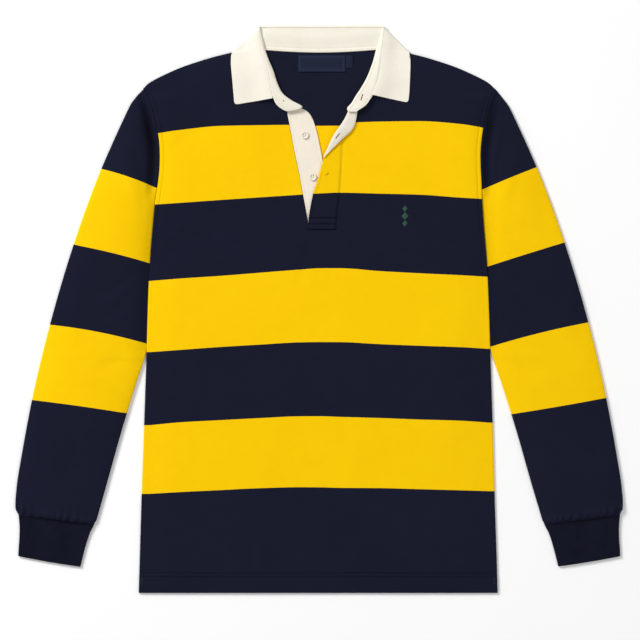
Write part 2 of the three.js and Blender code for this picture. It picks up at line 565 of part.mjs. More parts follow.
// ---------------------------------------------------------------- the shirt
const shirt = new THREE.Group();
function add(name, g, finish, at) {
  g.computeVertexNormals();
  const mesh = new THREE.Mesh(g, new THREE.MeshStandardMaterial(FINISH[finish]));
  mesh.name = name;
  if (at) mesh.position.set(...at);
  shirt.add(mesh);
}
add('back', backGeometry, 'navy');
add('front', frontGeometry, 'navy');
add('sleeve_left', sleeveGeometry('left'), 'navy');
add('sleeve_right', sleeveGeometry('right'), 'navy');
add('cuff_left', cuffGeometry('left'), 'rib');
add('cuff_right', cuffGeometry('right'), 'rib');
add('collar_stand', standGeometry, 'cream');
add('collar_leaf', leafGeometry, 'cream');
add('placket_under', placketGeometry, 'cream');
add('placket_facing', facingGeometry, 'cream');
for (const b of BUTTONS) add(b.name, buttonGeometry(b), 'button', [b.x, b.y, buttonBase(b)]);
for (const l of LABELS) add(l.name, labelGeometry(l), 'label');

export default shirt;
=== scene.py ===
import math
import bpy
import numpy as np
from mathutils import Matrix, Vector


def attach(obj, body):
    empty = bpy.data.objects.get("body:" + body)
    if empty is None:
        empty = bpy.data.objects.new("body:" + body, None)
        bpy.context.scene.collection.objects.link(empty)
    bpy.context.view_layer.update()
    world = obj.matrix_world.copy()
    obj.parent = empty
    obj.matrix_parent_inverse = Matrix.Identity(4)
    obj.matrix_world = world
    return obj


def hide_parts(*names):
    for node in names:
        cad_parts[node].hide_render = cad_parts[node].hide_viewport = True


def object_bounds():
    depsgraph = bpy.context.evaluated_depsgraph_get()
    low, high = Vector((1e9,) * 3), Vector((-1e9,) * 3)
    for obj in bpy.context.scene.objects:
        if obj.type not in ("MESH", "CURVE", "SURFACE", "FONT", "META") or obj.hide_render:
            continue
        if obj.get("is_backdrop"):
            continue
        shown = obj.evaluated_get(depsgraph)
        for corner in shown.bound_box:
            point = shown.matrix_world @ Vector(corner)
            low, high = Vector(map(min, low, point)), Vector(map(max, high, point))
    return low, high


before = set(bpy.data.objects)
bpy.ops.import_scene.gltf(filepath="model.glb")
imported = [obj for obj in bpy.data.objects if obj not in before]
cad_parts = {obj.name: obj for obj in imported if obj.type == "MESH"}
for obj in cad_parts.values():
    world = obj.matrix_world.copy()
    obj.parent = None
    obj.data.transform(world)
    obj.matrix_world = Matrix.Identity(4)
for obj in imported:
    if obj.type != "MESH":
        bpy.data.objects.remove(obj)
CAD_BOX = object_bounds()

# Sizes are millimetres here; meshes are written in metres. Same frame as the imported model.
CLOTH, STAND_CLOTH, LEAF_CLOTH, PLACKET_CLOTH, FACING_CLOTH, RIB = 1.2, 1.2, 1.4, 1.5, 0.8, 1.6
SEAM, AIR, LEAF_UNDER = 0.3, 2.0, 1.75

# ---------------------------------------------------------------- tables
BODY = dict(
    y=[-391, -365, -269, -152, -61, 10, 62, 120, 148, 163, 181, 197, 213, 228, 243, 260, 277, 291, 305],
    left=[-248.6, -247.8, -245.0, -240.9, -237.8, -235.7, -233.4, -228.7, -225.8, -223.6, -221.0, -219.6, -219.2, -219.8, -221.6, -224.8,
          -228.6, -233.6, -242.0],
    right=[246.9, 246.3, 243.2, 239.9, 237.0, 234.6, 232.3, 227.4, 225.4, 224.9, 224.2, 223.4, 223.1, 223.8, 225.6, 228.2, 231.8, 236.4, 244.0],
)
SHOULDER = dict(out=[98, 128, 150.5, 185, 211, 232, 242.3], y=[360.5, 353.2, 347.4, 336.4, 325.3, 314.3, 305])
SLEEVE_OUTER = dict(
    left=[(242.6, 305), (253.6, 292.2), (266.5, 270.1), (306.6, 179.1), (341.9, 79.7), (371.0, -19.7), (394.9, -119),
          (413.4, -218.4), (418.0, -252), (418.9, -270), (417.8, -283.6)],
    right=[(243.6, 305), (254, 292.2), (267.8, 270.1), (308.2, 179.1), (343.7, 79.7), (372.9, -19.7), (396.3, -119),
           (414.5, -218.4), (419.2, -254), (420.0, -270), (418.8, -283.2)],
)
SLEEVE_INNER = dict(
    left=[(240.2, -66), (252.6, -102.5), (272.7, -168.7), (291.2, -234.9), (303.0, -277.0), (308.9, -297.0)],
    right=[(240.2, -66), (252.8, -102.5), (273.4, -168.7), (292.2, -234.9), (304.2, -275.0), (310.6, -296.8)],
)
CUFF = {   # the two sides of each cuff, from under the sleeve's end down
    "left": dict(out=[(-415.0, -279.5), (-413.7, -290.9), (-413.2, -299.1), (-413.2, -307.4), (-413.7, -318.5), (-414.5, -329.5), (-415.1, -340.0)],
                 inn=[(-308.6, -292.0), (-311.4, -299.1), (-315.8, -307.4), (-319.5, -318.5), (-322.9, -329.5), (-325.4, -339.1), (-327.8, -348.8), (-329.3, -354.8)]),
    "right": dict(out=[(416.4, -279.5), (415.4, -290.9), (414.7, -299.1), (414.7, -307.4), (415.0, -318.5), (415.9, -329.5), (416.3, -340.2)],
                  inn=[(309.8, -291.4), (312.8, -299.1), (317.3, -307.4), (321.3, -318.5), (324.4, -329.5), (327.0, -339.1), (329.4, -348.8), (330.7, -354.4)]),
}
PLACKET = dict(
    y=[118.3, 158.8, 194.2, 221.1, 252.2, 262.3, 269.0, 273.5, 276.6, 278.6],
    left=[-14.8, -21.7, -28.1, -33.9, -39.7, -41.7, -43.0, -43.8, -44.4, -44.8],
    right=[21.0, 14.1, 7.9, 2.6, -4.4, -7.8, -11.2, -15.2, -20.0, -26.0],
)
SLIT = [(-14.2, 118.3), (-13.2, 132.1), (-7.2, 163.0), (-2.8, 174.9), (2.0, 192.2), (6.8, 210.5)]
LAPEL = dict(
    roll=[(6.8, 210.5), (13.4, 225.2), (20.4, 239.8), (27.9, 251.2), (35.0, 261.9), (39.2, 270.4), (42.0, 276.5)],
    free=[(7.6, 209.4), (18.8, 220.6), (33.0, 234.6), (46.6, 247.4), (51.8, 259.0), (54.0, 271.6), (54.6, 277.5)],
)
# Collar stand at the fronts: n on the neck seam, r where it rolls outward, j where the leaf joins; high: how far j stands up.
STAND_LEFT = dict(
    n=[(-92, 372), (-95, 362), (-93.0, 350.0), (-87.0, 336.0), (-79.0, 318.0), (-72.0, 306.0), (-62.2, 292.6), (-55.6, 283.4), (-44.0, 276.9), (-40.5, 275.6)],
    r=[(-80.6, 389.2), (-77.3, 374.0), (-73.8, 359.1), (-68.5, 344.0), (-62.3, 329.5), (-57.1, 313.3), (-50.0, 299.1), (-37.7, 288.9), (-22.4, 280.0), (-27.0, 276.4)],
    j=[(-81.6, 389.4), (-81.0, 375.2), (-78.4, 360.6), (-74.0, 346.0), (-69.0, 329.5), (-66.2, 313.3), (-62.9, 294.2), (-57.2, 282.6), (-44.6, 274.4), (-40.0, 273.8)],
    zl=[3.6, 3.4, 3.2, 3.2, 3.4, 3.6, 4.0, 4.2, 4.2, 4.2],
    zr=[6.4, 7.0, 7.5, 7.9, 8.1, 8.2, 8.3, 8.3, 8.0, 7.4],
    zj=[6.6, 7.4, 8.0, 8.4, 8.6, 8.6, 8.6, 8.2, 7.4, 6.8],
)
STAND_RIGHT = dict(
    n=[(96, 372), (98, 362), (94.5, 350.0), (91.5, 336.0), (86.0, 318.0), (78.5, 303.5), (69.0, 292.5), (59.5, 284.0), (51.0, 277.9), (50.0, 276.4)],
    r=[(87.4, 390.0), (84.0, 376.0), (79.0, 359.0), (74.5, 342.0), (66.2, 320.4), (58.2, 306.0), (50.3, 294.0), (45.2, 285.2), (39.0, 277.4), (40.6, 272.6)],
    j=[(88.2, 390.2), (88.8, 377.0), (86.4, 360.2), (84.0, 343.0), (80.4, 320.0), (75.4, 303.0), (70.8, 291.4), (64.3, 282.4), (54.4, 275.4), (50.2, 272.6)],
    zl=[3.6, 3.4, 3.2, 3.2, 3.4, 3.6, 4.2, 4.8, 6.2, 7.4],
    zr=[6.2, 6.8, 7.4, 7.9, 8.2, 8.4, 8.6, 9.0, 10.0, 10.2],
    zj=[6.6, 7.6, 8.6, 9.2, 9.4, 9.4, 9.4, 9.6, 10.2, 10.0],
)
LEAF = dict(
    j=[(-64.3, 291.2), (-67.2, 308.0), (-70.7, 329.5), (-77.1, 352.0), (-82.5, 377.5), (-81.9, 386.6), (-82.6, 390.0), (-78.4, 390.4),
       (-58.0, 390.9), (-28.0, 390.8), (1.7, 390.6), (32.0, 390.8), (63.0, 390.9), (85.6, 390.4), (89.6, 390.0), (88.9, 386.6),
       (89.9, 377.5), (86.6, 350.0), (83.6, 326.0), (79.0, 310.4), (73.0, 296.2)],
    e=[(-116.3, 282.6), (-118.0, 302.0), (-119.7, 322.0), (-121.2, 340.0), (-120.8, 351.0), (-120.0, 353.8), (-119.6, 356.2), (-116.4, 355.8),
       (-74.0, 349.4), (-34.0, 347.6), (1.7, 347.0), (38.0, 347.6), (78.0, 349.4), (120.0, 355.8), (123.8, 356.2), (124.8, 353.8),
       (125.6, 351.0), (126.6, 340.0), (126.0, 320.0), (125.2, 302.0), (123.6, 285.4)],
    under=[0, 0, 0, 0, 0, 0, 0.5, 1, 1, 1, 1, 1, 1, 1, 0.5, 0, 0, 0, 0, 0, 0],
)
BUTTONS = dict(button_collar=(-48.6, 288.2, 4.6), button_upper=(-19.4, 241.2, 3.1), button_lower=(-8.6, 183.5, 3.1))
LABELS = dict(neck_label=(-28.9, 37.0, 328.2, 351.6), size_label=(37.4, 46.9, 333.6, 351.0))

# Where the hoops change colour. Body: height of each change at stations across the front, top change first.
HOOP_X = [-233, -191, -136, -81, -26, 2, 29, 85, 140, 195, 236]
HOOPS = dict(
    first=[241.8, 248.1, 253.6, 254.7, 255.5, 256.5, 257.6, 259.6, 260.2, 256.3, 249.4],
    second=[144.8, 147.6, 151.5, 155.2, 158.9, 160.6, 161.6, 160.3, 158.8, 154.8, 152.4],
    third=[39.7, 43.1, 46.7, 51.1, 55.4, 57.3, 57.3, 53.3, 50.3, 47.7, 45.3],
    fourth=[-58.4, -55.3, -51.3, -48.0, -44.9, -44.5, -44.6, -47.4, -49.6, -51.5, -54.0],
    fifth=[-159.4, -155.3, -152.3, -149.5, -147.0, -146.9, -147.8, -149.4, -151.5, -153.1, -155.9],
    sixth=[-254.0, -251.4, -248.7, -246.1, -244.7, -244.9, -245.6, -246.0, -247.5, -249.0, -250.3],
)
SLEEVE_HOOPS = {   # the same on the sleeves: distance out from the centre line, and height
    "left": [((227, 252, 277, 302), (169.4, 179.7, 188.2, 194.9)), ((236, 267, 298, 329), (65.1, 73.7, 81.6, 88.0)),
             ((238, 283, 327, 371), (-46.6, -35.3, -26.2, -20.8)), ((274, 315, 355, 396), (-141.2, -135.3, -129.0, -124.5))],
    "right": [((228, 252, 277, 301), (166.8, 177.5, 187.2, 197.0)), ((234, 267, 300, 333), (60.1, 70.2, 81.4, 90.9)),
              ((239, 283, 327, 372), (-50.4, -37.9, -26.5, -17.6)), ((265, 306, 347, 388), (-143.9, -138.0, -130.0, -123.2))],
}
# Main creases. path: its run; width: how broad it is; depth: how far down (below 0) or up it goes.
BODY_CREASES = [
    dict(path=[(-92, -389), (-91, -350), (-86, -300), (-84, -262)], width=5.0, depth=-0.50),
    dict(path=[(-80, -385), (-79, -345), (-76, -312)], width=6.0, depth=0.35),
    dict(path=[(64, -389), (62, -340), (55, -280), (50, -215)], width=6.0, depth=-0.50),
    dict(path=[(50, -330), (46, -250), (44, -170)], width=10.0, depth=0.35),
    dict(path=[(36, -240), (38, -160), (45, -70), (52, 20)], width=13.0, depth=-0.45),
    dict(path=[(-198, -240), (-196, -150), (-190, -60), (-186, 30)], width=12.0, depth=-0.50),
    dict(path=[(-176, -180), (-172, -80), (-168, 20)], width=10.0, depth=0.30),
    dict(path=[(196, -300), (200, -200), (202, -90), (196, 10)], width=13.0, depth=-0.40),
    dict(path=[(-224, 66), (-190, 92), (-150, 104), (-112, 106)], width=9.0, depth=-0.55),
    dict(path=[(-226, 84), (-196, 112), (-168, 134), (-140, 150)], width=7.0, depth=0.40),
    dict(path=[(222, 66), (190, 90), (150, 102), (118, 104)], width=9.0, depth=-0.50),
    dict(path=[(224, 92), (196, 118), (170, 142)], width=7.0, depth=0.35),
    dict(path=[(-215, 214), (-186, 236), (-150, 262), (-128, 276)], width=8.0, depth=-0.40),
    dict(path=[(216, 214), (186, 238), (152, 262), (134, 272)], width=8.0, depth=-0.40),
    dict(path=[(-14, 108), (-16, 84), (-22, 52), (-24, 20)], width=7.0, depth=-0.45),
    dict(path=[(24, 108), (26, 80), (32, 44)], width=7.0, depth=-0.35),
    dict(path=[(-130, -120), (-80, -128), (-20, -126), (30, -118)], width=16.0, depth=-0.30),
    dict(path=[(60, 122), (98, 112), (136, 110)], width=12.0, depth=-0.30),
    dict(path=[(-120, 30), (-70, 18), (-10, 14)], width=14.0, depth=-0.30),
    dict(path=[(120, -10), (160, 0), (205, 20)], width=12.0, depth=-0.35),
    dict(path=[(140, -330), (144, -296), (142, -262)], width=8.0, depth=-0.30),
    dict(path=[(-180, -386), (-178, -350), (-172, -318)], width=6.0, depth=-0.30),
]
SLEEVE_CREASES = dict(
    left=[
        dict(path=[(-262, 244), (-246, 196), (-240, 140), (-240, 96)], width=5.5, depth=-0.9),
        dict(path=[(-276, 236), (-262, 186), (-254, 132)], width=7.0, depth=0.6),
        dict(path=[(-246, 60), (-276, 34), (-306, 20), (-334, 16)], width=7.0, depth=-0.7),
        dict(path=[(-250, 20), (-280, -2), (-312, -14)], width=8.0, depth=-0.6),
        dict(path=[(-260, -60), (-290, -78), (-322, -86)], width=8.0, depth=-0.5),
        dict(path=[(-352, 40), (-338, -10), (-342, -60)], width=10.0, depth=0.5),
        dict(path=[(-330, -140), (-336, -190), (-350, -240)], width=9.0, depth=-0.6),
        dict(path=[(-372, -150), (-378, -200), (-388, -250)], width=8.0, depth=-0.45),
        dict(path=[(-300, 170), (-318, 120), (-334, 66)], width=10.0, depth=-0.45),
    ],
    right=[
        dict(path=[(262, 246), (246, 200), (241, 140), (240, 92)], width=5.5, depth=-0.9),
        dict(path=[(276, 236), (264, 186), (256, 132)], width=7.0, depth=0.6),
        dict(path=[(246, 58), (278, 36), (308, 24), (332, 20)], width=7.0, depth=-0.7),
        dict(path=[(252, 14), (286, -4), (318, -12)], width=8.0, depth=-0.55),
        dict(path=[(262, -70), (292, -84), (326, -88)], width=8.0, depth=-0.5),
        dict(path=[(356, 36), (344, -16), (350, -62)], width=10.0, depth=0.5),
        dict(path=[(322, -150), (334, -200), (352, -246)], width=9.0, depth=-0.6),
        dict(path=[(374, -140), (382, -196), (392, -250)], width=8.0, depth=-0.45),
        dict(path=[(302, 168), (322, 118), (338, 62)], width=10.0, depth=-0.45),
    ],
)


# ---------------------------------------------------------------- helpers
def ease(a, b, x):
    t = np.clip((np.asarray(x, float) - a) / (b - a), 0, 1)
    return t * t * (3 - 2 * t)


def mix(a, b, t):
    return a + (b - a) * t


def smooth(xs, ys):
    """Smooth curve through (x, y) rows that never overshoots; y may be a point."""
    xs = np.asarray(xs, float)
    ys = np.asarray(ys, float)
    one = ys.ndim == 1
    if one:
        ys = ys[:, None]
    h = np.diff(xs)[:, None]
    d = np.diff(ys, axis=0) / h
    m = np.zeros_like(ys)
    m[0], m[-1] = d[0], d[-1]
    a, b = d[:-1], d[1:]
    same = a * b > 0
    w1, w2 = 2 * h[1:] + h[:-1], h[1:] + 2 * h[:-1]
    with np.errstate(divide="ignore", invalid="ignore"):
        m[1:-1] = np.where(same, (w1 + w2) / (w1 / np.where(same, a, 1) + w2 / np.where(same, b, 1)), 0)

    def f(x):
        x = np.asarray(x, float)
        flat = np.clip(x.ravel(), xs[0], xs[-1])
        i = np.clip(np.searchsorted(xs, flat, side="right") - 1, 0, len(xs) - 2)
        hh = h[i]
        t = ((flat - xs[i])[:, None]) / hh
        out = ((1 + 2 * t) * (1 - t) ** 2 * ys[i] + t * (1 - t) ** 2 * hh * m[i]
               + t * t * (3 - 2 * t) * ys[i + 1] + t * t * (t - 1) * hh * m[i + 1])
        return out[:, 0].reshape(x.shape) if one else out.reshape(x.shape + (ys.shape[1],))
    return f


def curve(points, soft=True):
    """Point by fraction of the length, along a smooth or a straight-sided run."""
    p = np.asarray(points, float)
    if soft and len(p) > 2:
        q = np.vstack([2 * p[0] - p[1], p, 2 * p[-1] - p[-2]])
        out = []
        for i in range(1, len(q) - 2):
            t = np.linspace(0, 1, 24, endpoint=False)[:, None]
            a, b, c, d = q[i - 1], q[i], q[i + 1], q[i + 2]
            out.append(0.5 * (2 * b + (c - a) * t + (2 * a - 5 * b + 4 * c - d) * t ** 2 + (3 * b - a - 3 * c + d) * t ** 3))
        p = np.vstack(out + [q[-2][None]])
    s = np.concatenate([[0], np.cumsum(np.linalg.norm(np.diff(p, axis=0), axis=1))])

    def f(t):
        t = np.asarray(t, float)
        x = np.clip(t, 0, 1) * s[-1]
        return np.stack([np.interp(x, s, p[:, k]) for k in range(p.shape[1])], -1)
    f.length = float(s[-1])
    return f


def steps(a, b, n):
    return np.linspace(a, b, n)


def spaced(length, ends, pitch, tail=None):
    """Positions 0..length in mm: the given offsets from the start (and from the end), and even steps between."""
    tail = ends if tail is None else tail
    lo, hi = np.array(ends, float), length - np.array(tail, float)[::-1]
    n = max(2, int(round((hi[0] - lo[-1]) / pitch)) + 1)
    return np.concatenate([lo, np.linspace(lo[-1], hi[0], n)[1:-1], hi]) / length


def coons(bottom, top, left, right):
    """Grid (rows v, columns u) spanned by four edges, given as arrays of points."""
    b, t, l, r = (np.asarray(e, float) for e in (bottom, top, left, right))
    u = np.concatenate([[0], np.cumsum(np.linalg.norm(np.diff(b, axis=0), axis=1))])
    u = (u / u[-1])[None, :, None]
    v = np.concatenate([[0], np.cumsum(np.linalg.norm(np.diff(l, axis=0), axis=1) + np.linalg.norm(np.diff(r, axis=0), axis=1))])
    v = (v / v[-1])[:, None, None]
    return ((1 - v) * b[None] + v * t[None] + (1 - u) * l[:, None] + u * r[:, None]
            - ((1 - u) * (1 - v) * b[0] + u * (1 - v) * b[-1] + (1 - u) * v * t[0] + u * v * t[-1]))


def quads(rows, cols, start=0, flip=False, wrap=False):
    i, j = np.meshgrid(np.arange(rows - 1), np.arange(cols if wrap else cols - 1), indexing="ij")
    jn = (j + 1) % cols
    f = np.stack([i * cols + j, i * cols + jn, (i + 1) * cols + jn, (i + 1) * cols + j], -1).reshape(-1, 4) + start
    return f[:, ::-1] if flip else f


CREASE_RUNS = {}


def crease(x, y, table, scale=1.0):
    z = np.zeros_like(x)
    for c in table:
        if id(c) not in CREASE_RUNS:
            CREASE_RUNS[id(c)] = curve(c["path"])(np.linspace(0, 1, 17))
        p = CREASE_RUNS[id(c)]
        best = np.full(x.shape, 1e9)
        where = np.zeros_like(x)
        for k in range(16):
            a, b = p[k], p[k + 1]
            d = b - a
            t = np.clip(((x - a[0]) * d[0] + (y - a[1]) * d[1]) / (d @ d), 0, 1)
            dist = np.hypot(x - a[0] - t * d[0], y - a[1] - t * d[1])
            nearer = dist < best
            best = np.where(nearer, dist, best)
            where = np.where(nearer, (k + t) / 16, where)
        taper = ease(0, 0.35, where) * (1 - ease(0.55, 1, where))
        z += scale * c["depth"] * taper * np.exp(-(best / c["width"]) ** 2)
    return z


def waves(x, y, seed, size, amount):
    """Low, uneven ripple: a few slanting waves with no common beat."""
    rng = np.random.default_rng(seed)
    z = np.zeros_like(x)
    for _ in range(7):
        a, k, p = rng.uniform(0, math.tau), 2 * math.pi / (size * rng.uniform(0.6, 1.7)), rng.uniform(0, math.tau)
        z += np.sin(k * (x * math.cos(a) + y * math.sin(a)) + p + 0.9 * np.sin(k * 0.43 * (y * math.cos(a) - x * math.sin(a)) + 2 * p))
    return z * amount / 7


ROOT = "root"


def mesh_object(name, verts, faces, attributes=None, material=None, tris=None):
    me = bpy.data.meshes.new(name)
    faces = [list(map(int, f)) for f in faces] + ([list(map(int, f)) for f in tris] if tris is not None else [])
    me.from_pydata((np.asarray(verts, float) * 0.001).tolist(), [], faces)
    me.polygons.foreach_set("use_smooth", np.ones(len(me.polygons), bool))
    for key, values in (attributes or {}).items():
        a = me.attributes.new(key, "FLOAT", "POINT")
        a.data.foreach_set("value", np.asarray(values, np.float32))
    me.validate()
    me.update()
    ob = bpy.data.objects.new(name, me)
    bpy.context.scene.collection.objects.link(ob)
    if material:
        me.materials.append(material)
    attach(ob, ROOT)
    return ob


def normals_of(V, F):
    n = np.cross(V[F[:, 2]] - V[F[:, 0]], V[F[:, 3]] - V[F[:, 1]])
    out = np.zeros_like(V)
    for k in range(4):
        np.add.at(out, F[:, k], n)
    return out / np.maximum(np.linalg.norm(out, axis=1, keepdims=True), 1e-12)


def cloth(name, V, F, thick, attributes=None, material=None, rounds=(55, 20, -20, -55)):
    """Closed thin shell of even thickness about an open sheet of quads, its edges rounded over."""
    V = np.asarray(V, float)
    F = np.asarray(F, int)
    used = np.unique(F)
    remap = np.full(len(V), -1)
    remap[used] = np.arange(len(used))
    V, F = V[used], remap[F]
    attributes = {k: np.asarray(v, float)[used] for k, v in (attributes or {}).items()}
    n = normals_of(V, F)
    half = thick / 2
    edges = np.concatenate([F[:, [k, (k + 1) % 4]] for k in range(4)])
    keys = edges[:, 0] * len(V) + edges[:, 1]
    back = edges[:, 1] * len(V) + edges[:, 0]
    rim = edges[~np.isin(keys, back)]
    out = np.zeros_like(V)
    d = V[rim[:, 1]] - V[rim[:, 0]]
    d /= np.maximum(np.linalg.norm(d, axis=1, keepdims=True), 1e-12)
    for k in (0, 1):
        np.add.at(out, rim[:, k], np.cross(d, n[rim[:, k]]))
    on = np.unique(rim)
    out[on] -= n[on] * np.sum(out[on] * n[on], axis=1, keepdims=True)
    out[on] /= np.maximum(np.linalg.norm(out[on], axis=1, keepdims=True), 1e-12)
    middle = V.copy()
    middle[on] -= out[on] * half
    N = len(V)
    layers = [middle + n * half, middle - n * half]
    ring_of = np.full(N, -1)
    ring_of[on] = np.arange(len(on))
    rings = [middle[on] + half * (out[on] * math.cos(math.radians(a)) + n[on] * math.sin(math.radians(a))) for a in rounds]
    verts = np.concatenate(layers + rings)
    R = lambda k, i: 2 * N + k * len(on) + ring_of[i]
    chain = [lambda i: i] + [(lambda i, k=k: R(k, i)) for k in range(len(rounds))] + [lambda i: i + N]
    side = []
    for a, b in zip(chain[:-1], chain[1:]):
        side.append(np.stack([a(rim[:, 1]), a(rim[:, 0]), b(rim[:, 0]), b(rim[:, 1])], -1))
    faces = np.concatenate([F, F[:, ::-1] + N] + side)
    full = {k: np.concatenate([v, v] + [v[on]] * len(rounds)) for k, v in attributes.items()}
    return mesh_object(name, verts, faces, full, material)


# ---------------------------------------------------------------- heights and hoops of the body
edge_left = smooth(BODY["y"], BODY["left"])
edge_right = smooth(BODY["y"], BODY["right"])
shoulder = smooth(SHOULDER["out"], SHOULDER["y"])
strip_left = smooth(PLACKET["y"], PLACKET["left"])
strip_right = smooth(PLACKET["y"], PLACKET["right"])
hoop_lines = [smooth(HOOP_X, HOOPS[k]) for k in ("first", "second", "third", "fourth", "fifth", "sixth")]
stitch_x = smooth([105, 129, 165, 234, 262, 290], [22.6, 24.4, 28.6, 32.0, 33.0, 34.0])


def stripes(y, lines):
    """Whole numbers at the colour changes, going down."""
    s = np.where(y > lines[0], 1 - 0.95 * (1 - np.exp(-np.maximum(y - lines[0], 0) / 100)), 0.0)
    for k in range(len(lines) - 1):
        s = np.where((y <= lines[k]) & (y > lines[k + 1]), k + 1 + (lines[k] - y) / (lines[k] - lines[k + 1]), s)
    return np.where(y <= lines[-1], len(lines) + 0.95 * (1 - np.exp(-np.maximum(lines[-1] - y, 0) / 100)), s)


def body_hoop(x, y):
    return stripes(y, [f(x) for f in hoop_lines])


def sleeve_hoop(side, x, y):
    lines = []
    for xs, ys in SLEEVE_HOOPS[side]:
        a = np.abs(x)
        c = np.polyfit(xs, ys, 2)
        inside = np.polyval(c, np.clip(a, xs[0], xs[-1]))
        slope = (ys[-1] - ys[0]) / (xs[-1] - xs[0])
        lines.append(inside + slope * (a - np.clip(a, xs[0], xs[-1])))
    return stripes(y, lines)


def back_low(x, y):
    return LEAF_UNDER * ease(285, 332, y) * (1 - ease(142, 190, np.abs(x - 1.7)))


def plateau(x, y):
    """The buttonhole band, where the front is doubled, and the stitched box at its foot."""
    sx = stitch_x(y)
    return (ease(108.6, 111.2, y) * ease(-18.2, -15.8, x) * (1 - ease(sx - 1.4, sx + 1.4, x)) * (1 - ease(268, 286, y)))


arm_rise = smooth([0, 3, 6, 10, 15, 22, 34, 50, 80, 600], [1.75, 1.8, 1.95, 2.2, 2.25, 1.85, 1.0, 0.4, 0, 0])


def front_mid(x, y):
    L, Rr = edge_left(y), edge_right(y)
    dl, dr, db = x - L, Rr - x, y + 391
    ds = np.where(np.abs(x) > 98, shoulder(np.abs(x)) - y, 360.5 - y)
    near = np.minimum(np.minimum(dl, dr), np.where(np.abs(x) > 100, ds, 99))
    strip = strip_left(y) - x
    dip = np.where((y > 118) & (strip > -3), ease(118, 178, y) * np.exp(-(np.maximum(strip - 12, 0) / 34) ** 2), 0)
    air = AIR * ease(0, 46, dl) * ease(0, 46, dr) * ease(-6, 34, db) * ease(-4, 40, ds) * (1 - 0.85 * dip)
    edge = np.sqrt(np.clip(1 - (1 - np.clip(near / 3.2, 0, 1)) ** 2, 0, 1))
    z = back_low(x, y) + 1.42 + 0.72 * edge + air
    soft = ease(4, 30, near)
    z = z + soft * (crease(x, y, BODY_CREASES) + waves(x, y, 3, 130, 0.22) + waves(x, y, 8, 46, 0.06))
    # armhole: the panel stands up beside the seam, with the pull of the topstitching in it
    arm = (0.5 * ease(-70, 70, y) + 0.5 * ease(90, 160, y)) * (1 - ease(290, 304, y))
    d = np.minimum(dl, dr)
    z = z + arm * (arm_rise(d) - 0.34 * np.exp(-((d - 5.4) / 1.1) ** 2) + 0.06 * np.sin(y * 1.15 + 2 * np.sin(y * 0.21)) * np.exp(-((d - 5.4) / 3) ** 2))
    # hem: turned up, twin stitched
    hem = 1 - ease(-366.5, -363.0, y)
    z = z + 0.42 * hem * ease(0, 4, db) - 0.30 * np.exp(-((y + 363.4) / 1.2) ** 2) - 0.22 * np.exp(-((y + 368.2) / 1.1) ** 2)
    z = z + 0.10 * np.exp(-((y + 365) / 9) ** 2) * np.sin(x * 0.74 + 1.7 * np.sin(x * 0.083) + 0.05 * (y + 365))
    # placket band and foot box
    z = z + 0.95 * plateau(x, y)
    box = ease(106, 110, y) * (1 - ease(127, 131, y)) * ease(-20, -16, x) * (1 - ease(23, 27, x))
    for at in (110.6, 118.3, 126.6):
        z = z - 0.95 * box * np.exp(-((y - at) / 1.15) ** 2)
    band = ease(108, 112, y) * (1 - ease(262, 280, y)) * (x > -30)
    z = z - 0.46 * band * np.exp(-((x - stitch_x(y)) / 1.3) ** 2)
    z = z + 0.09 * band * np.exp(-((x - stitch_x(y)) / 6) ** 2) * np.sin(y * 0.95 + 1.4 * np.sin(y * 0.17))
    return z


def front_top(x, y):
    return front_mid(x, y) + CLOTH / 2


def front_shade(x, y):
    """Painted shade: how far to darken the colour towards black in the sunk, pulled-in stitch lines of the foot box,
    band, hem and armholes, and faintly over the band beside the turned-out edge.
    """
    box = ease(106, 110, y) * (1 - ease(127.5, 131, y)) * ease(-19, -16, x) * (1 - ease(stitch_x(y) - 1, stitch_x(y) + 2, x))
    dark = sum(0.60 * box * np.exp(-((y - at) / 0.95) ** 2) for at in (110.6, 118.3, 126.6))
    dark = dark + 0.30 * ease(108, 112, y) * (1 - ease(138, 150, y)) * np.exp(-((x - stitch_x(y)) / 1.2) ** 2)
    dark = dark + 0.045 * plateau(x, y) * ease(130, 160, y)
    dark = dark + 0.05 * ease(138, 150, y) * (1 - ease(252, 262, y)) * np.exp(-((x - stitch_x(y)) / 1.2) ** 2)
    dark = dark + 0.16 * (np.exp(-((y + 363.4) / 0.9) ** 2) + np.exp(-((y + 368.2) / 0.9) ** 2))
    d = np.minimum(x - edge_left(y), edge_right(y) - x)
    dark = dark + 0.09 * ease(84, 110, y) * (1 - ease(285, 300, y)) * np.exp(-((d - 5.4) / 1.0) ** 2)
    return np.clip(dark, 0, 0.75)


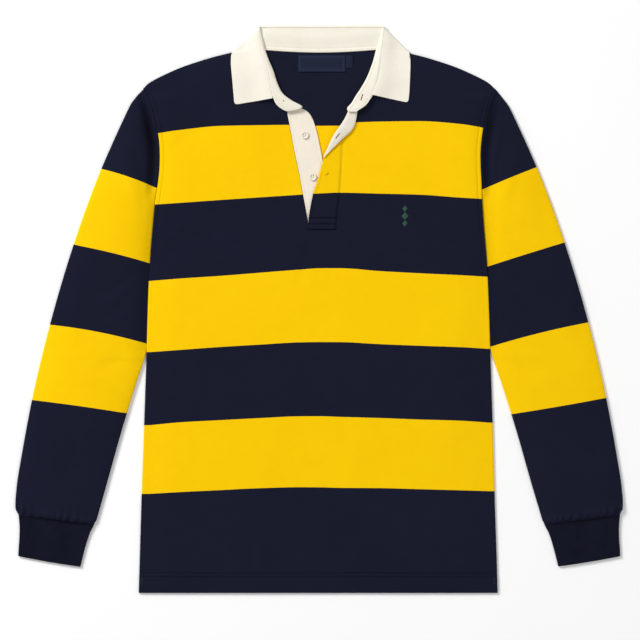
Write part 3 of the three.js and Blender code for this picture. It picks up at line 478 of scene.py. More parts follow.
# ---------------------------------------------------------------- materials
def node_tools(name):
    mat = bpy.data.materials.new(name)
    mat.use_nodes = True
    nt = mat.node_tree
    nt.nodes.clear()
    out = nt.nodes.new("ShaderNodeOutputMaterial")
    bsdf = nt.nodes.new("ShaderNodeBsdfPrincipled")
    nt.links.new(bsdf.outputs["BSDF"], out.inputs["Surface"])

    def new(kind, **values):
        n = nt.nodes.new(kind)
        for k, v in values.items():
            setattr(n, k, v)
        return n

    def link(a, b):
        nt.links.new(a, b)

    def put(socket, value):
        if isinstance(value, bpy.types.NodeSocket):
            link(value, socket)
        else:
            socket.default_value = value

    def m(op, a, b=None, c=None, clamp=False):
        n = new("ShaderNodeMath", operation=op, use_clamp=clamp)
        put(n.inputs[0], a)
        if b is not None:
            put(n.inputs[1], b)
        if c is not None:
            put(n.inputs[2], c)
        return n.outputs[0]

    def attr(key):
        n = new("ShaderNodeAttribute", attribute_name=key, attribute_type="GEOMETRY")
        return n.outputs["Fac"]

    def noise(scale, detail=3.0, rough=0.5, vector=None, dist=0.0):
        n = new("ShaderNodeTexNoise")
        n.inputs["Scale"].default_value = scale
        n.inputs["Detail"].default_value = detail
        n.inputs["Roughness"].default_value = rough
        n.inputs["Distortion"].default_value = dist
        if vector is None:
            vector = coords
        link(vector, n.inputs["Vector"])
        return n.outputs["Fac"]

    def blend(fac, a, b, mode="MIX"):
        n = new("ShaderNodeMix", data_type="RGBA", blend_type=mode)
        put(n.inputs["Factor"], fac)
        put(n.inputs["A"], a)
        put(n.inputs["B"], b)
        return n.outputs["Result"]

    def bump(height, distance, strength=1.0, normal=None):
        n = new("ShaderNodeBump")
        n.inputs["Strength"].default_value = strength
        n.inputs["Distance"].default_value = distance
        link(height, n.inputs["Height"])
        if normal is not None:
            link(normal, n.inputs["Normal"])
        return n.outputs["Normal"]

    coords = new("ShaderNodeTexCoord").outputs["Object"]
    return mat, bsdf, dict(new=new, link=link, put=put, m=m, attr=attr, noise=noise, blend=blend, bump=bump, coords=coords)


def rgb(r, g, b):
    f = lambda c: (c / 255 / 12.92) if c / 255 <= 0.04045 else ((c / 255 + 0.055) / 1.055) ** 2.4
    return (f(r), f(g), f(b), 1.0)


YELLOW, YELLOW_DEEP = rgb(252, 208, 8), rgb(243, 192, 2)
NAVY, NAVY_DEEP = rgb(28, 30, 48), rgb(20, 23, 39)


def jersey_material(name, dim=1.0):
    mat, bsdf, t = node_tools(name)
    m, attr, noise, blend, link = t["m"], t["attr"], t["noise"], t["blend"], t["link"]
    wale, course = attr("wale"), attr("course")
    # knit: columns of loops, each course a V
    col = m("ABSOLUTE", m("SINE", m("MULTIPLY", wale, math.pi / 1.35)))
    lean = m("MULTIPLY", m("ABSOLUTE", m("SUBTRACT", m("FRACT", m("DIVIDE", wale, 1.35)), 0.5)), 1.3)
    row = m("ADD", m("MULTIPLY", m("SINE", m("MULTIPLY", m("ADD", m("DIVIDE", course, 1.05), lean), math.tau)), 0.5), 0.5)
    knit = m("MULTIPLY", m("POWER", col, 0.6), m("ADD", m("MULTIPLY", row, 0.45), 0.55))
    fuzz = noise(900, 2, 0.6)
    height = m("ADD", knit, m("MULTIPLY", fuzz, 0.5))
    wobble = m("MULTIPLY", m("SUBTRACT", noise(900, 1, 0.5), 0.5), 0.004)
    s = m("ADD", attr("hoop"), wobble)
    half = m("FRACT", m("MULTIPLY", s, 0.5))
    yellow = m("GREATER_THAN", half, 0.5)
    slub = m("MULTIPLY", m("SUBTRACT", noise(60, 4, 0.6), 0.5), 1.4)
    cloud = m("MULTIPLY", m("SUBTRACT", noise(9, 3, 0.5), 0.5), 1.1)
    # slub and cloud are random tone; the knit term darkens the hollows between the loops as painted shade
    tone = m("ADD", m("ADD", m("MULTIPLY", slub, 0.30), m("MULTIPLY", cloud, 0.5)), m("MULTIPLY", m("SUBTRACT", knit, 0.5), 0.35))
    tone = m("ADD", tone, 0.42, clamp=True)
    a = blend(tone, YELLOW_DEEP, YELLOW)
    b = blend(tone, NAVY_DEEP, NAVY)
    # Painted shade: the shade attribute mixes the colour towards black, and dim darkens the thread and slot copies of
    # this jersey.
    colour = blend(attr("shade"), blend(yellow, b, a), (0, 0, 0, 1))
    if dim != 1.0:
        colour = blend(1.0, colour, (dim, dim, dim, 1), "MULTIPLY")
    link(colour, bsdf.inputs["Base Color"])
    bsdf.inputs["Roughness"].default_value = 0.92
    bsdf.inputs["Specular IOR Level"].default_value = 0.05
    bsdf.inputs["Sheen Weight"].default_value = 0.012
    bsdf.inputs["Sheen Roughness"].default_value = 0.4
    n1 = t["bump"](height, 0.00022, 0.55)
    n2 = t["bump"](noise(42, 3, 0.55), 0.0011, 0.16, n1)
    link(n2, bsdf.inputs["Normal"])
    return mat


def rib_material(name):
    mat, bsdf, t = node_tools(name)
    m, attr, noise, blend, link = t["m"], t["attr"], t["noise"], t["blend"], t["link"]
    ridge = m("ABSOLUTE", m("SINE", m("MULTIPLY", attr("wale"), math.pi / 2.3)))
    # Painted shade: the rib's hollows are coloured darker than its ridges; the noise is random tone.
    tone = m("ADD", m("MULTIPLY", m("SUBTRACT", noise(70, 4, 0.6), 0.5), 0.6), m("MULTIPLY", ridge, 0.7), clamp=True)
    link(blend(tone, rgb(14, 16, 29), rgb(26, 28, 44)), bsdf.inputs["Base Color"])
    bsdf.inputs["Roughness"].default_value = 0.95
    bsdf.inputs["Specular IOR Level"].default_value = 0.05
    bsdf.inputs["Sheen Weight"].default_value = 0.015
    loops = m("SINE", m("MULTIPLY", attr("course"), math.tau / 1.2))
    h = m("ADD", m("MULTIPLY", loops, 0.25), noise(800, 2, 0.6))
    link(t["bump"](h, 0.00025, 0.5), bsdf.inputs["Normal"])
    return mat


def twill_material(name, light, dark, angle=0.9, pitch=1.1, rough=0.88, strength=0.35):
    """Cream cotton: fine slanting ribs, faint slubs and soft uneven tone."""
    mat, bsdf, t = node_tools(name)
    m, attr, noise, blend, link = t["m"], t["attr"], t["noise"], t["blend"], t["link"]
    sep = t["new"]("ShaderNodeSeparateXYZ")
    link(t["coords"], sep.inputs[0])
    x, y = m("MULTIPLY", sep.outputs["X"], 1000.0), m("MULTIPLY", sep.outputs["Y"], 1000.0)
    line = m("ADD", m("MULTIPLY", x, math.cos(angle)), m("MULTIPLY", y, math.sin(angle)))
    twill = m("ADD", m("MULTIPLY", m("SINE", m("MULTIPLY", line, math.tau / pitch)), 0.5), 0.5)
    thread = noise(1100, 2, 0.55)
    # the noise terms are random tone; the twill term darkens the furrows between the slanting ribs as painted shade
    tone = m("ADD", m("ADD", m("MULTIPLY", m("SUBTRACT", noise(16, 3, 0.5), 0.5), 1.0), m("MULTIPLY", m("SUBTRACT", noise(160, 3, 0.6), 0.5), 0.5)),
             m("ADD", m("MULTIPLY", twill, 0.2), 0.45), clamp=True)
    link(blend(tone, dark, light), bsdf.inputs["Base Color"])
    bsdf.inputs["Roughness"].default_value = rough
    bsdf.inputs["Specular IOR Level"].default_value = 0.08
    bsdf.inputs["Sheen Weight"].default_value = 0.02
    n1 = t["bump"](m("ADD", m("MULTIPLY", twill, 0.7), thread), 0.00016, strength)
    n2 = t["bump"](noise(55, 3, 0.5), 0.0009, 0.16, n1)
    link(n2, bsdf.inputs["Normal"])
    return mat


def woven_material(name, ground, line):
    mat, bsdf, t = node_tools(name)
    m, attr, noise, blend, link = t["m"], t["attr"], t["noise"], t["blend"], t["link"]
    u, v = attr("wale"), attr("course")
    weft = m("ADD", m("MULTIPLY", m("SINE", m("MULTIPLY", v, math.tau / 0.55)), 0.5), 0.5)
    warp = m("ADD", m("MULTIPLY", m("SINE", m("MULTIPLY", u, math.tau / 0.7)), 0.5), 0.5)
    weave = m("MULTIPLY", weft, m("ADD", m("MULTIPLY", warp, 0.4), 0.6))
    tone = m("ADD", m("MULTIPLY", weave, 0.5), m("MULTIPLY", noise(120, 3, 0.6), 0.5), clamp=True)
    base = blend(tone, tuple(c * 0.72 for c in ground[:3]) + (1,), ground)
    edge = attr("edge")
    base = blend(m("MULTIPLY", edge, 0.8), base, line)
    link(base, bsdf.inputs["Base Color"])
    bsdf.inputs["Roughness"].default_value = 0.6
    bsdf.inputs["Specular IOR Level"].default_value = 0.15
    bsdf.inputs["Sheen Weight"].default_value = 0.02
    link(t["bump"](weave, 0.0001, 0.5), bsdf.inputs["Normal"])
    return mat


def plastic_material(name):
    mat, bsdf, t = node_tools(name)
    m, noise, blend, link = t["m"], t["noise"], t["blend"], t["link"]
    swirl = noise(220, 4, 0.55, dist=1.6)
    link(blend(m("ADD", m("MULTIPLY", m("SUBTRACT", swirl, 0.5), 1.3), 0.5, clamp=True), rgb(226, 214, 192), rgb(247, 240, 226)), bsdf.inputs["Base Color"])
    link(m("ADD", m("MULTIPLY", noise(700, 2, 0.5), 0.16), 0.26), bsdf.inputs["Roughness"])
    bsdf.inputs["Specular IOR Level"].default_value = 0.5
    bsdf.inputs["Coat Weight"].default_value = 0.15
    link(t["bump"](swirl, 0.00008, 0.3), bsdf.inputs["Normal"])
    return mat


def thread_material(name, light, dark, rough=0.7):
    mat, bsdf, t = node_tools(name)
    m, noise, blend, link = t["m"], t["noise"], t["blend"], t["link"]
    link(blend(m("ADD", m("MULTIPLY", m("SUBTRACT", noise(900, 3, 0.6), 0.5), 1.2), 0.5, clamp=True), dark, light), bsdf.inputs["Base Color"])
    bsdf.inputs["Roughness"].default_value = rough
    bsdf.inputs["Specular IOR Level"].default_value = 0.3
    bsdf.inputs["Sheen Weight"].default_value = 0.1
    link(t["bump"](noise(2200, 2, 0.5), 0.0001, 0.5), bsdf.inputs["Normal"])
    return mat


def floor_material():
    mat, bsdf, t = node_tools("floor_paper")
    m, noise, blend, link = t["m"], t["noise"], t["blend"], t["link"]
    link(blend(noise(3, 2, 0.5), (0.965, 0.965, 0.965, 1), (0.985, 0.985, 0.985, 1)), bsdf.inputs["Base Color"])
    bsdf.inputs["Roughness"].default_value = 0.95
    bsdf.inputs["Specular IOR Level"].default_value = 0.1
    return mat


JERSEY = jersey_material("striped_jersey")
# stitch threads dimmed to 0.8 of the jersey: painted shade of the grooves they sink into
JERSEY_THREAD_SHADED = jersey_material("jersey_thread_shaded", 0.80)
# jersey dimmed to 0.42: painted shade for the sunk foot-box stitch lines and the slit of the jersey buttonhole
JERSEY_SLOT_SHADE = jersey_material("jersey_slot_shade", 0.42)
RIB_KNIT = rib_material("navy_rib")
LEAF_TWILL = twill_material("collar_leaf_twill", rgb(245, 240, 228), rgb(233, 226, 210))
# stand cream a touch darker and greyer than the leaf's: painted shade inside the neck
STAND_TWILL_SHADED = twill_material("collar_stand_twill", rgb(242, 237, 224), rgb(229, 222, 206), angle=-0.9)
PLACKET_TWILL = twill_material("placket_cotton", rgb(243, 234, 218), rgb(230, 219, 202), angle=0.2, pitch=1.3)
FACING_COTTON = twill_material("facing_cotton", rgb(235, 229, 216), rgb(219, 211, 197), angle=0.2, pitch=1.3)
LABEL_WOVEN = woven_material("woven_label", rgb(21, 31, 55), rgb(46, 60, 92))
BUTTON_PLASTIC = plastic_material("button_plastic")
CREAM_THREAD = thread_material("cream_thread", rgb(243, 237, 222), rgb(214, 203, 180))
NAVY_THREAD = thread_material("navy_thread", rgb(44, 48, 68), rgb(24, 26, 40))
GREEN_THREAD = thread_material("green_thread", rgb(46, 96, 74), rgb(28, 68, 52), 0.55)

# ---------------------------------------------------------------- front
P = 3.7
center_x = -14.5
n_low = spaced(509.3, [0, 1.0, 2.2, 3.8, 6.0, 9, 13, 17, 20, 21.6, 22.8, 24.0, 25.2, 26.4, 27.4, 28.4, 29.6, 31.4, 34], P, [0, 0.7, 1.4, 2.2, 3.0, 3.7, 4.4, 5.1, 5.8, 6.5, 7.2, 7.9, 8.6, 9.4, 10.6])
low_y = -391 + 509.3 * n_low


def side_points(edge, ys):
    return np.stack([edge(ys), ys], -1)


def rows_y(a, b, n):
    return np.linspace(a, b, n)


def top_run(sign, cols):
    """Shoulder line from the tip inward, at the same fractions as the columns."""
    pts = [(sign * o, yy) for o, yy in zip(SHOULDER["out"][::-1], SHOULDER["y"][::-1])]
    return curve(pts)(cols)


cols_side = [0, 0.8, 1.8, 3.0, 4.0, 4.7, 5.4, 6.1, 6.9, 8.2, 10, 12, 14.5]
cols = spaced(235.0, cols_side, P, [0, 0.9, 2.0, 3.4, 5.0, 7.5])

# left half: from the left side (u=0) to the centre line, the button strip and the neck (u=1)
strip_edge = np.array([(strip_left(yy) - SEAM, yy) for yy in np.linspace(118.3, 272.6, 30)])
neck_left = curve([(-43.9, 273.0), (-47.6, 278.2), (-55.7, 283.2), (-62.3, 292.4), (-72.1, 305.9), (-79.1, 317.8), (-87.1, 335.9), (-93.1, 349.9), (-97.2, 360.6)])
nB, nC = 44, 32
FOOT = np.array([0.7, 1.4, 2.1, 2.8, 3.6, 4.6, 5.7, 6.6, 7.3, 8.0, 8.7, 9.4, 10.1, 10.9, 11.7, 12.6, 14.2])


def from_foot(length, n):
    f = FOOT / length
    return np.concatenate([f, mix(f[-1], 1.0, np.linspace(0, 1, n + 1)[1:])])


tB, tC = from_foot(157.0, 40), np.linspace(0, 1, nC + 1)[1:]
low_left_y = np.concatenate([-391 + (100 + 391) * n_low, mix(100.0, 240.0, tB), mix(240.0, 305.0, tC)])
inner_left = np.concatenate([np.stack([np.full_like(low_y, center_x), low_y], -1), curve(strip_edge, False)(tB), neck_left(tC)])
left_side = side_points(edge_left, low_left_y)
left_side[-1] = (-243.0, 305)
bottom_left = np.stack([mix(left_side[0][0], center_x, cols), np.full_like(cols, -391.0)], -1)
top_left = top_run(-1, cols)
top_left[-1] = neck_left(1.0)
GL = coons(bottom_left, top_left, left_side, inner_left)

# right half: from the centre line, the slit, the roll of the turned-out edge and the neck (u=0) to the right side (u=1)
roll = curve(LAPEL["roll"])
free = curve(LAPEL["free"])
lap_t = np.linspace(0, 1, 25)
outdir = free(lap_t) - roll(lap_t)
outdir /= np.linalg.norm(outdir, axis=1, keepdims=True)
TURN = 2.4
base = roll(lap_t) + outdir * TURN * ease(0, 0.12, lap_t)[:, None]
slit = curve(SLIT[:-1] + [tuple(base[0])])
neck_right = curve([tuple(base[-1]), (51.2, 279.2), (59.7, 284.2), (69.2, 292.6), (78.7, 303.5), (86.2, 318.0), (91.7, 336.0), (94.8, 350.0), (98.6, 360.6)])
nS = 28
tS = from_foot(95.0, 23)
nS = len(tS)
nR = 30
tR = np.linspace(0, 1, nR + 1)[1:]
inner_right = np.concatenate([np.stack([np.full_like(low_y, center_x), low_y], -1), slit(tS), base[1:], neck_right(tR)])
right_y = np.concatenate([-391 + (100 + 391) * n_low, mix(100.0, 180.0, tS), mix(180.0, 240.0, lap_t[1:]), mix(240.0, 305.0, tR)])
right_side = side_points(edge_right, right_y)
right_side[-1] = (243.2, 305)
rcols = 1 - cols[::-1]
rcols = np.sort(np.concatenate([rcols[(rcols < 0.027) | (rcols > 0.168)], np.linspace(0.030, 0.165, 26)]))
bottom_right = np.stack([mix(center_x, right_side[0][0], rcols), np.full_like(rcols, -391.0)], -1)
top_right = top_run(1, 1 - rcols)
top_right[0] = neck_right(1.0)
GR = coons(bottom_right, top_right, inner_right, right_side)
GR[: len(low_y), 0] = GL[: len(low_y), -1]

rowsL, colsL = GL.shape[:2]
rowsR, colsR = GR.shape[:2]
VL, VR = GL.reshape(-1, 2), GR.reshape(-1, 2)
XY = np.concatenate([VL, VR])
FL = quads(rowsL, colsL)
FR = quads(rowsR, colsR, len(VL))
# share the centre line
swap = np.arange(len(XY))
for i in range(len(low_y)):
    swap[len(VL) + i * colsR] = i * colsL + colsL - 1
FR = swap[FR]
Z = front_mid(XY[:, 0], XY[:, 1])
# keep clear of the button strip under the slit edge
over = (XY[:, 1] > 118) & (np.arange(len(XY)) >= len(VL))
gap = strip_right(XY[:, 1]) + 1.5 - XY[:, 0]
Z = np.where(over & (gap > -8), np.maximum(Z, 3.0 + 0.15 + CLOTH / 2 + 0.2 - 1.8 * ease(0, 8, -gap)), Z)
# turned-out part: rows along the roll, columns round it and out to the free edge
flap_rows = np.arange(len(lap_t)) + len(low_y) - 1 + nS
base_ids = len(VL) + flap_rows * colsR
zl = Z[base_ids]
zu = zl + (CLOTH + 0.75) * (0.3 + 0.7 * ease(0, 0.3, lap_t))
flap, flap_z = [], []
FCOLS = [("turn", a) for a in (30, 60, 90, 120, 150, 180)] + [("out", f) for f in (0.12, 0.28, 0.45, 0.62, 0.78, 0.9, 0.96, 1.0)]
width = np.linalg.norm(free(lap_t) - base, axis=1)
for kind, a in FCOLS:
    if kind == "turn":
        r = (zu - zl) / 2
        q = base - outdir * (r * math.sin(math.radians(a)))[:, None] * np.minimum(1, width / 6)[:, None]
        zz = (zl + zu) / 2 - r * math.cos(math.radians(a))
    else:
        q = base + (free(lap_t) - base) * a
        settle = front_top(q[:, 0], q[:, 1]) + CLOTH / 2 + 0.2
        zz = mix(zu, np.maximum(settle, zu - 1.1), ease(0.0, 1.0, a))
        zz = zz + 0.35 * math.sin(math.pi * a) * ease(0.2, 0.7, lap_t)
    flap.append(q)
    flap_z.append(zz)
flap = np.stack(flap, 1)
flap_z = np.stack(flap_z, 1)
nf = len(FCOLS)
flap_start = len(XY)
V_front = np.concatenate([np.column_stack([XY, Z]), np.column_stack([flap.reshape(-1, 2), flap_z.reshape(-1)])])
fid = np.column_stack([base_ids, flap_start + np.arange(len(lap_t) * nf).reshape(len(lap_t), nf)])
F_flap = []
for i in range(len(lap_t) - 1):
    for k in range(nf):
        F_flap.append([fid[i, k], fid[i + 1, k], fid[i + 1, k + 1], fid[i, k + 1]])
F_front = np.concatenate([FL, FR, np.array(F_flap)])
wale = V_front[:, 0].copy()
front = cloth("front_jersey", V_front, F_front, CLOTH,
              dict(hoop=body_hoop(V_front[:, 0], V_front[:, 1]), wale=wale, course=V_front[:, 1],
                   shade=front_shade(V_front[:, 0], V_front[:, 1])), JERSEY)
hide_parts("front")

# ---------------------------------------------------------------- back
bcols = np.concatenate([spaced(150, [0, 1.2, 3, 6], 5.2, [0]) * 0.3, mix(0.3, 0.7, np.linspace(0, 1, 46))[1:], 0.7 + 0.3 * (1 - spaced(150, [0, 1.2, 3, 6], 5.2, [0])[::-1][0:])[1:]])
brows = spaced(696, [0, 1.2, 3, 6, 12, 20, 24, 26, 28, 32], 5.2, [0, 1.2, 3])


def back_top(u):
    pts = []
    for a in u:
        if a < 0.3:
            p = top_run(-1, np.array([a / 0.3]))[0]
            pts.append((p[0] + 0.8, p[1]))
        elif a > 0.7:
            p = top_run(1, np.array([(1 - a) / 0.3]))[0]
            pts.append((p[0] - 0.0, p[1]))
        else:
            w = (a - 0.3) / 0.4
            pts.append((mix(-97.2, 98.0, w), 360.5 - 5.8 * math.sin(math.pi * w)))
    return np.array(pts)


yb = -391 + 696 * brows
lb, rb = side_points(edge_left, yb), side_points(edge_right, yb)
bt = back_top(bcols)
bt[0], bt[-1] = lb[-1], rb[-1]
bb = np.stack([mix(lb[0][0], rb[0][0], bcols), np.full_like(bcols, -391.0)], -1)
GB = coons(bb, bt, lb, rb)
vb = GB.reshape(-1, 2)
zb = back_low(vb[:, 0], vb[:, 1]) + CLOTH / 2
inside = ease(268, 300, vb[:, 1]) * (1 - ease(70, 96, np.abs(vb[:, 0] - 1.7)))
zb = zb + inside * np.maximum(0.0, 0.28 + waves(vb[:, 0], vb[:, 1], 5, 46, 0.55)) * 0.8
back_hoops = body_hoop(vb[:, 0], vb[:, 1] + 1.0)
near_neck = vb[:, 1] > 200
flat_first = stripes(vb[:, 1], [np.full(len(vb), 254.0)] + [f(vb[:, 0]) for f in hoop_lines[1:]])
back_hoops = np.where(near_neck, flat_first, back_hoops)
back = cloth("back_jersey", np.column_stack([vb, zb]), quads(len(brows), len(bcols)), CLOTH,
             dict(hoop=back_hoops, wale=vb[:, 0], course=vb[:, 1]), JERSEY)
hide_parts("back")


# ---------------------------------------------------------------- sleeves
def soft_min(a, b, k=1.6):
    return -np.log(np.exp(-k * a) + np.exp(-k * b)) / k


from_fold = smooth([0, 2, 5, 10, 20, 40, 70], [3.2, 3.7, 4.3, 5.0, 6.0, 7.0, 7.5])
by_armhole = smooth([0, 1.2, 3, 5, 7, 9, 12, 16, 21, 30, 48, 70], [3.3, 3.8, 3.5, 2.5, 1.9, 1.8, 2.7, 5.0, 6.9, 7.8, 8.2, 8.3])
by_body = smooth([0, 2, 5, 10, 18, 30, 50], [1.1, 1.6, 2.3, 3.6, 5.2, 6.6, 7.5])


def make_sleeve(side):
    s = -1 if side == "left" else 1
    edge = edge_left if side == "left" else edge_right
    ys = np.linspace(305, 62, 60)
    armhole = curve(np.column_stack([edge(ys) - s * 0.2, ys]), False)
    ys2 = np.linspace(62, -52, 20)
    hidden = np.column_stack([edge(ys2) - s * 0.2, ys2])
    free_in = curve([(s * a, b) for a, b in SLEEVE_INNER[side]])(np.linspace(0, 1, 40))
    inner = curve(np.vstack([hidden, free_in]), False)
    outer = curve([tuple(armhole(0.0))] + [(s * a, b) for a, b in SLEEVE_OUTER[side][1:]])
    u = spaced(620, [0, 0.9, 2.0, 3.2, 4.6, 6.2, 8, 10, 12, 14.5, 17.5, 21], 3.9, [0, 0.8, 1.7, 2.8, 4.2, 6, 8, 10.5, 13, 16, 19.5, 23])
    o, n_ = outer(u), inner(u)
    top_pts = lambda v: (armhole(v), mix(outer(1.0)[None], inner(1.0)[None], v[:, None]))
    thick = CLOTH

    def place(uu, v):
        """uu: index of the row, v: array of fractions across."""
        a, e = top_pts(v)
        U = u[uu]
        b0, b1 = o[uu], n_[uu]
        return ((1 - v)[:, None] * b0 + v[:, None] * b1 + (1 - U) * a + U * e
                - ((1 - v)[:, None] * ((1 - U) * o[0] + U * o[-1]) + v[:, None] * ((1 - U) * n_[0] + U * n_[-1])))

    def height(x, y, a_out, a_in):
        d = np.abs(x) - np.abs(edge(y))
        z = soft_min(from_fold(a_out) + 0.5, from_fold(a_in) + 0.5 + 30 * ease(-70, -50, y))
        arm = ease(135, 190, y)
        z = mix(z, soft_min(z, mix(by_body(d), by_armhole(d), arm) + 0.4), ease(-125, -45, y))
        z = z + ease(3, 26, np.minimum(a_out, a_in)) * ease(8, 26, d + 60 * (1 - ease(-90, -50, y))) * (
            crease(x, y, SLEEVE_CREASES[side], 1.2) + waves(x, y, 11 if side == "left" else 17, 90, 0.35))
        return z

    K = 64
    rings_out, rings_in, wales, courses = [], [], [], []
    arc = np.radians(np.linspace(-90, 90, 9))
    for i in range(len(u)):
        W = float(np.linalg.norm(place(i, np.array([1.0]))[0] - place(i, np.array([0.0]))[0]))
        R = 2.0
        dist_end = (1 - u[i]) * 600
        across = mix(R, W - R, 0.5 - 0.5 * np.cos(np.linspace(0, math.pi, K)) * 0.35 - 0.65 * (0.5 - np.linspace(0, 1, K)) * 1.0 + 0.0)
        across = mix(R, W - R, mix(np.linspace(0, 1, K), 0.5 - 0.5 * np.cos(np.linspace(0, math.pi, K)), 0.55))

        def z_top(a):
            pts = place(i, a / W)
            z = height(pts[:, 0], pts[:, 1], a, W - a)
            # at the cuff seam the sleeve is gathered in, with small uneven puffs above it
            end = 1 - ease(0, 26, dist_end)
            ruck = np.sin(a * 0.62 + 1.6 * np.sin(a * 0.11 + (2 if s > 0 else 0.4)) + 0.02 * dist_end * np.sin(a * 0.07))
            z = z + 2.1 * end * ruck * (0.55 + 0.45 * np.sin(a * 0.093 + 1.1)) * ease(1.0, 6.0, dist_end)
            z = z + 1.2 * np.exp(-((dist_end - 8.0) / 6.0) ** 2) * ease(0, 8, np.minimum(a, W - a))
            z = mix(np.full_like(z, 3.4), z, math.sqrt(max(0.0, 1 - (1 - min(dist_end / 5.0, 1)) ** 2)) * 0.85 + 0.15)
            return z

        def loop(t):
            top = z_top(across)
            h0, h1 = top[0], top[-1]
            a0 = t + (R - t * 0.7) * (1 - np.cos(arc))
            z0 = h0 / 2 + (h0 / 2 - min(t, h0 * 0.42)) * np.sin(arc)
            a1 = W - (t + (R - t * 0.7) * (1 - np.cos(arc[::-1])))
            z1 = h1 / 2 + (h1 / 2 - min(t, h1 * 0.42)) * np.sin(arc[::-1])
            tt = np.minimum(t, top * 0.42)
            under = across[::-1][3:-3:2]
            tu = np.interp(under, across, tt)
            a = np.concatenate([a0[:-1], across, a1[1:], under])
            z = np.concatenate([z0[:-1], top - tt, z1[1:], tu])
            pts = place(i, a / W)
            # the end is rounded at its two corners and a little scalloped by the gathers
            last = np.exp(-(dist_end / 5.0) ** 2)
            f = a / W
            pts[:, 1] += last * (3.2 * np.exp(-(f / 0.030) ** 2) + 3.2 * np.exp(-((1 - f) / 0.030) ** 2) + 0.45 * np.sin(a * 0.62 + 1.6 * np.sin(a * 0.11 + (2 if s > 0 else 0.4))))
            pts[:, 0] += last * s * (1.3 * np.exp(-((1 - f) / 0.02) ** 2) - 1.3 * np.exp(-(f / 0.02) ** 2))
            return np.column_stack([pts, z]), a

        ring, a = loop(0.0)
        inn, _ = loop(thick)
        rings_out.append(ring)
        rings_in.append(inn)
        wales.append(a)
        courses.append(np.full(len(a), u[i] * 600))
    ro, ri = np.array(rings_out), np.array(rings_in)
    n, k = ro.shape[:2]
    V = np.concatenate([ro.reshape(-1, 3), ri.reshape(-1, 3)])
    Fo = quads(n, k, 0, wrap=True, flip=(s < 0))
    Fi = quads(n, k, n * k, wrap=True, flip=(s > 0))
    ends = []
    for row, turn in ((0, False), (n - 1, True)):
        for j in range(k):
            j2 = (j + 1) % k
            q = [row * k + j, n * k + row * k + j, n * k + row * k + j2, row * k + j2]
            if turn != (s < 0):
                q = q[::-1]
            ends.append(q)
    F = np.concatenate([Fo, Fi, np.array(ends)])
    w = np.concatenate([np.concatenate(wales)] * 2)
    c = np.concatenate([np.concatenate(courses)] * 2)
    name = "sleeve_" + side
    # Painted shade: the armhole valley, the crevice beside the body's edge and the armhole seam line are darkened
    # through the shade attribute.
    d = np.abs(V[:, 0]) - np.abs(edge(V[:, 1]))
    yy = V[:, 1]
    reach = 10.0 if s < 0 else 7.5
    shade = (0.46 + 0.08 * np.sin(yy * 0.06)) * ease(148, 186, yy) * (1 - ease(278, 300, yy)) * np.exp(-((d - reach - 2.5 * ease(210, 265, yy)) / (5.4 + 1.6 * ease(200, 260, yy))) ** 2)
    if s < 0:
        shade = shade + 0.17 * ease(160, 195, yy) * (1 - ease(250, 285, yy)) * np.exp(-((d - 19) / 13) ** 2)
    shade = shade + 0.15 * ease(-80, -40, yy) * (1 - ease(140, 185, yy)) * np.exp(-(d / 9) ** 2)
    shade = shade + 0.30 * ease(60, 110, yy) * (1 - ease(285, 300, yy)) * np.exp(-(d / 1.3) ** 2)
    ob = mesh_object(name + "_jersey", V, F, dict(hoop=sleeve_hoop(side, V[:, 0], V[:, 1]), wale=w, course=c, shade=shade), JERSEY)
    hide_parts(name)
    return ob


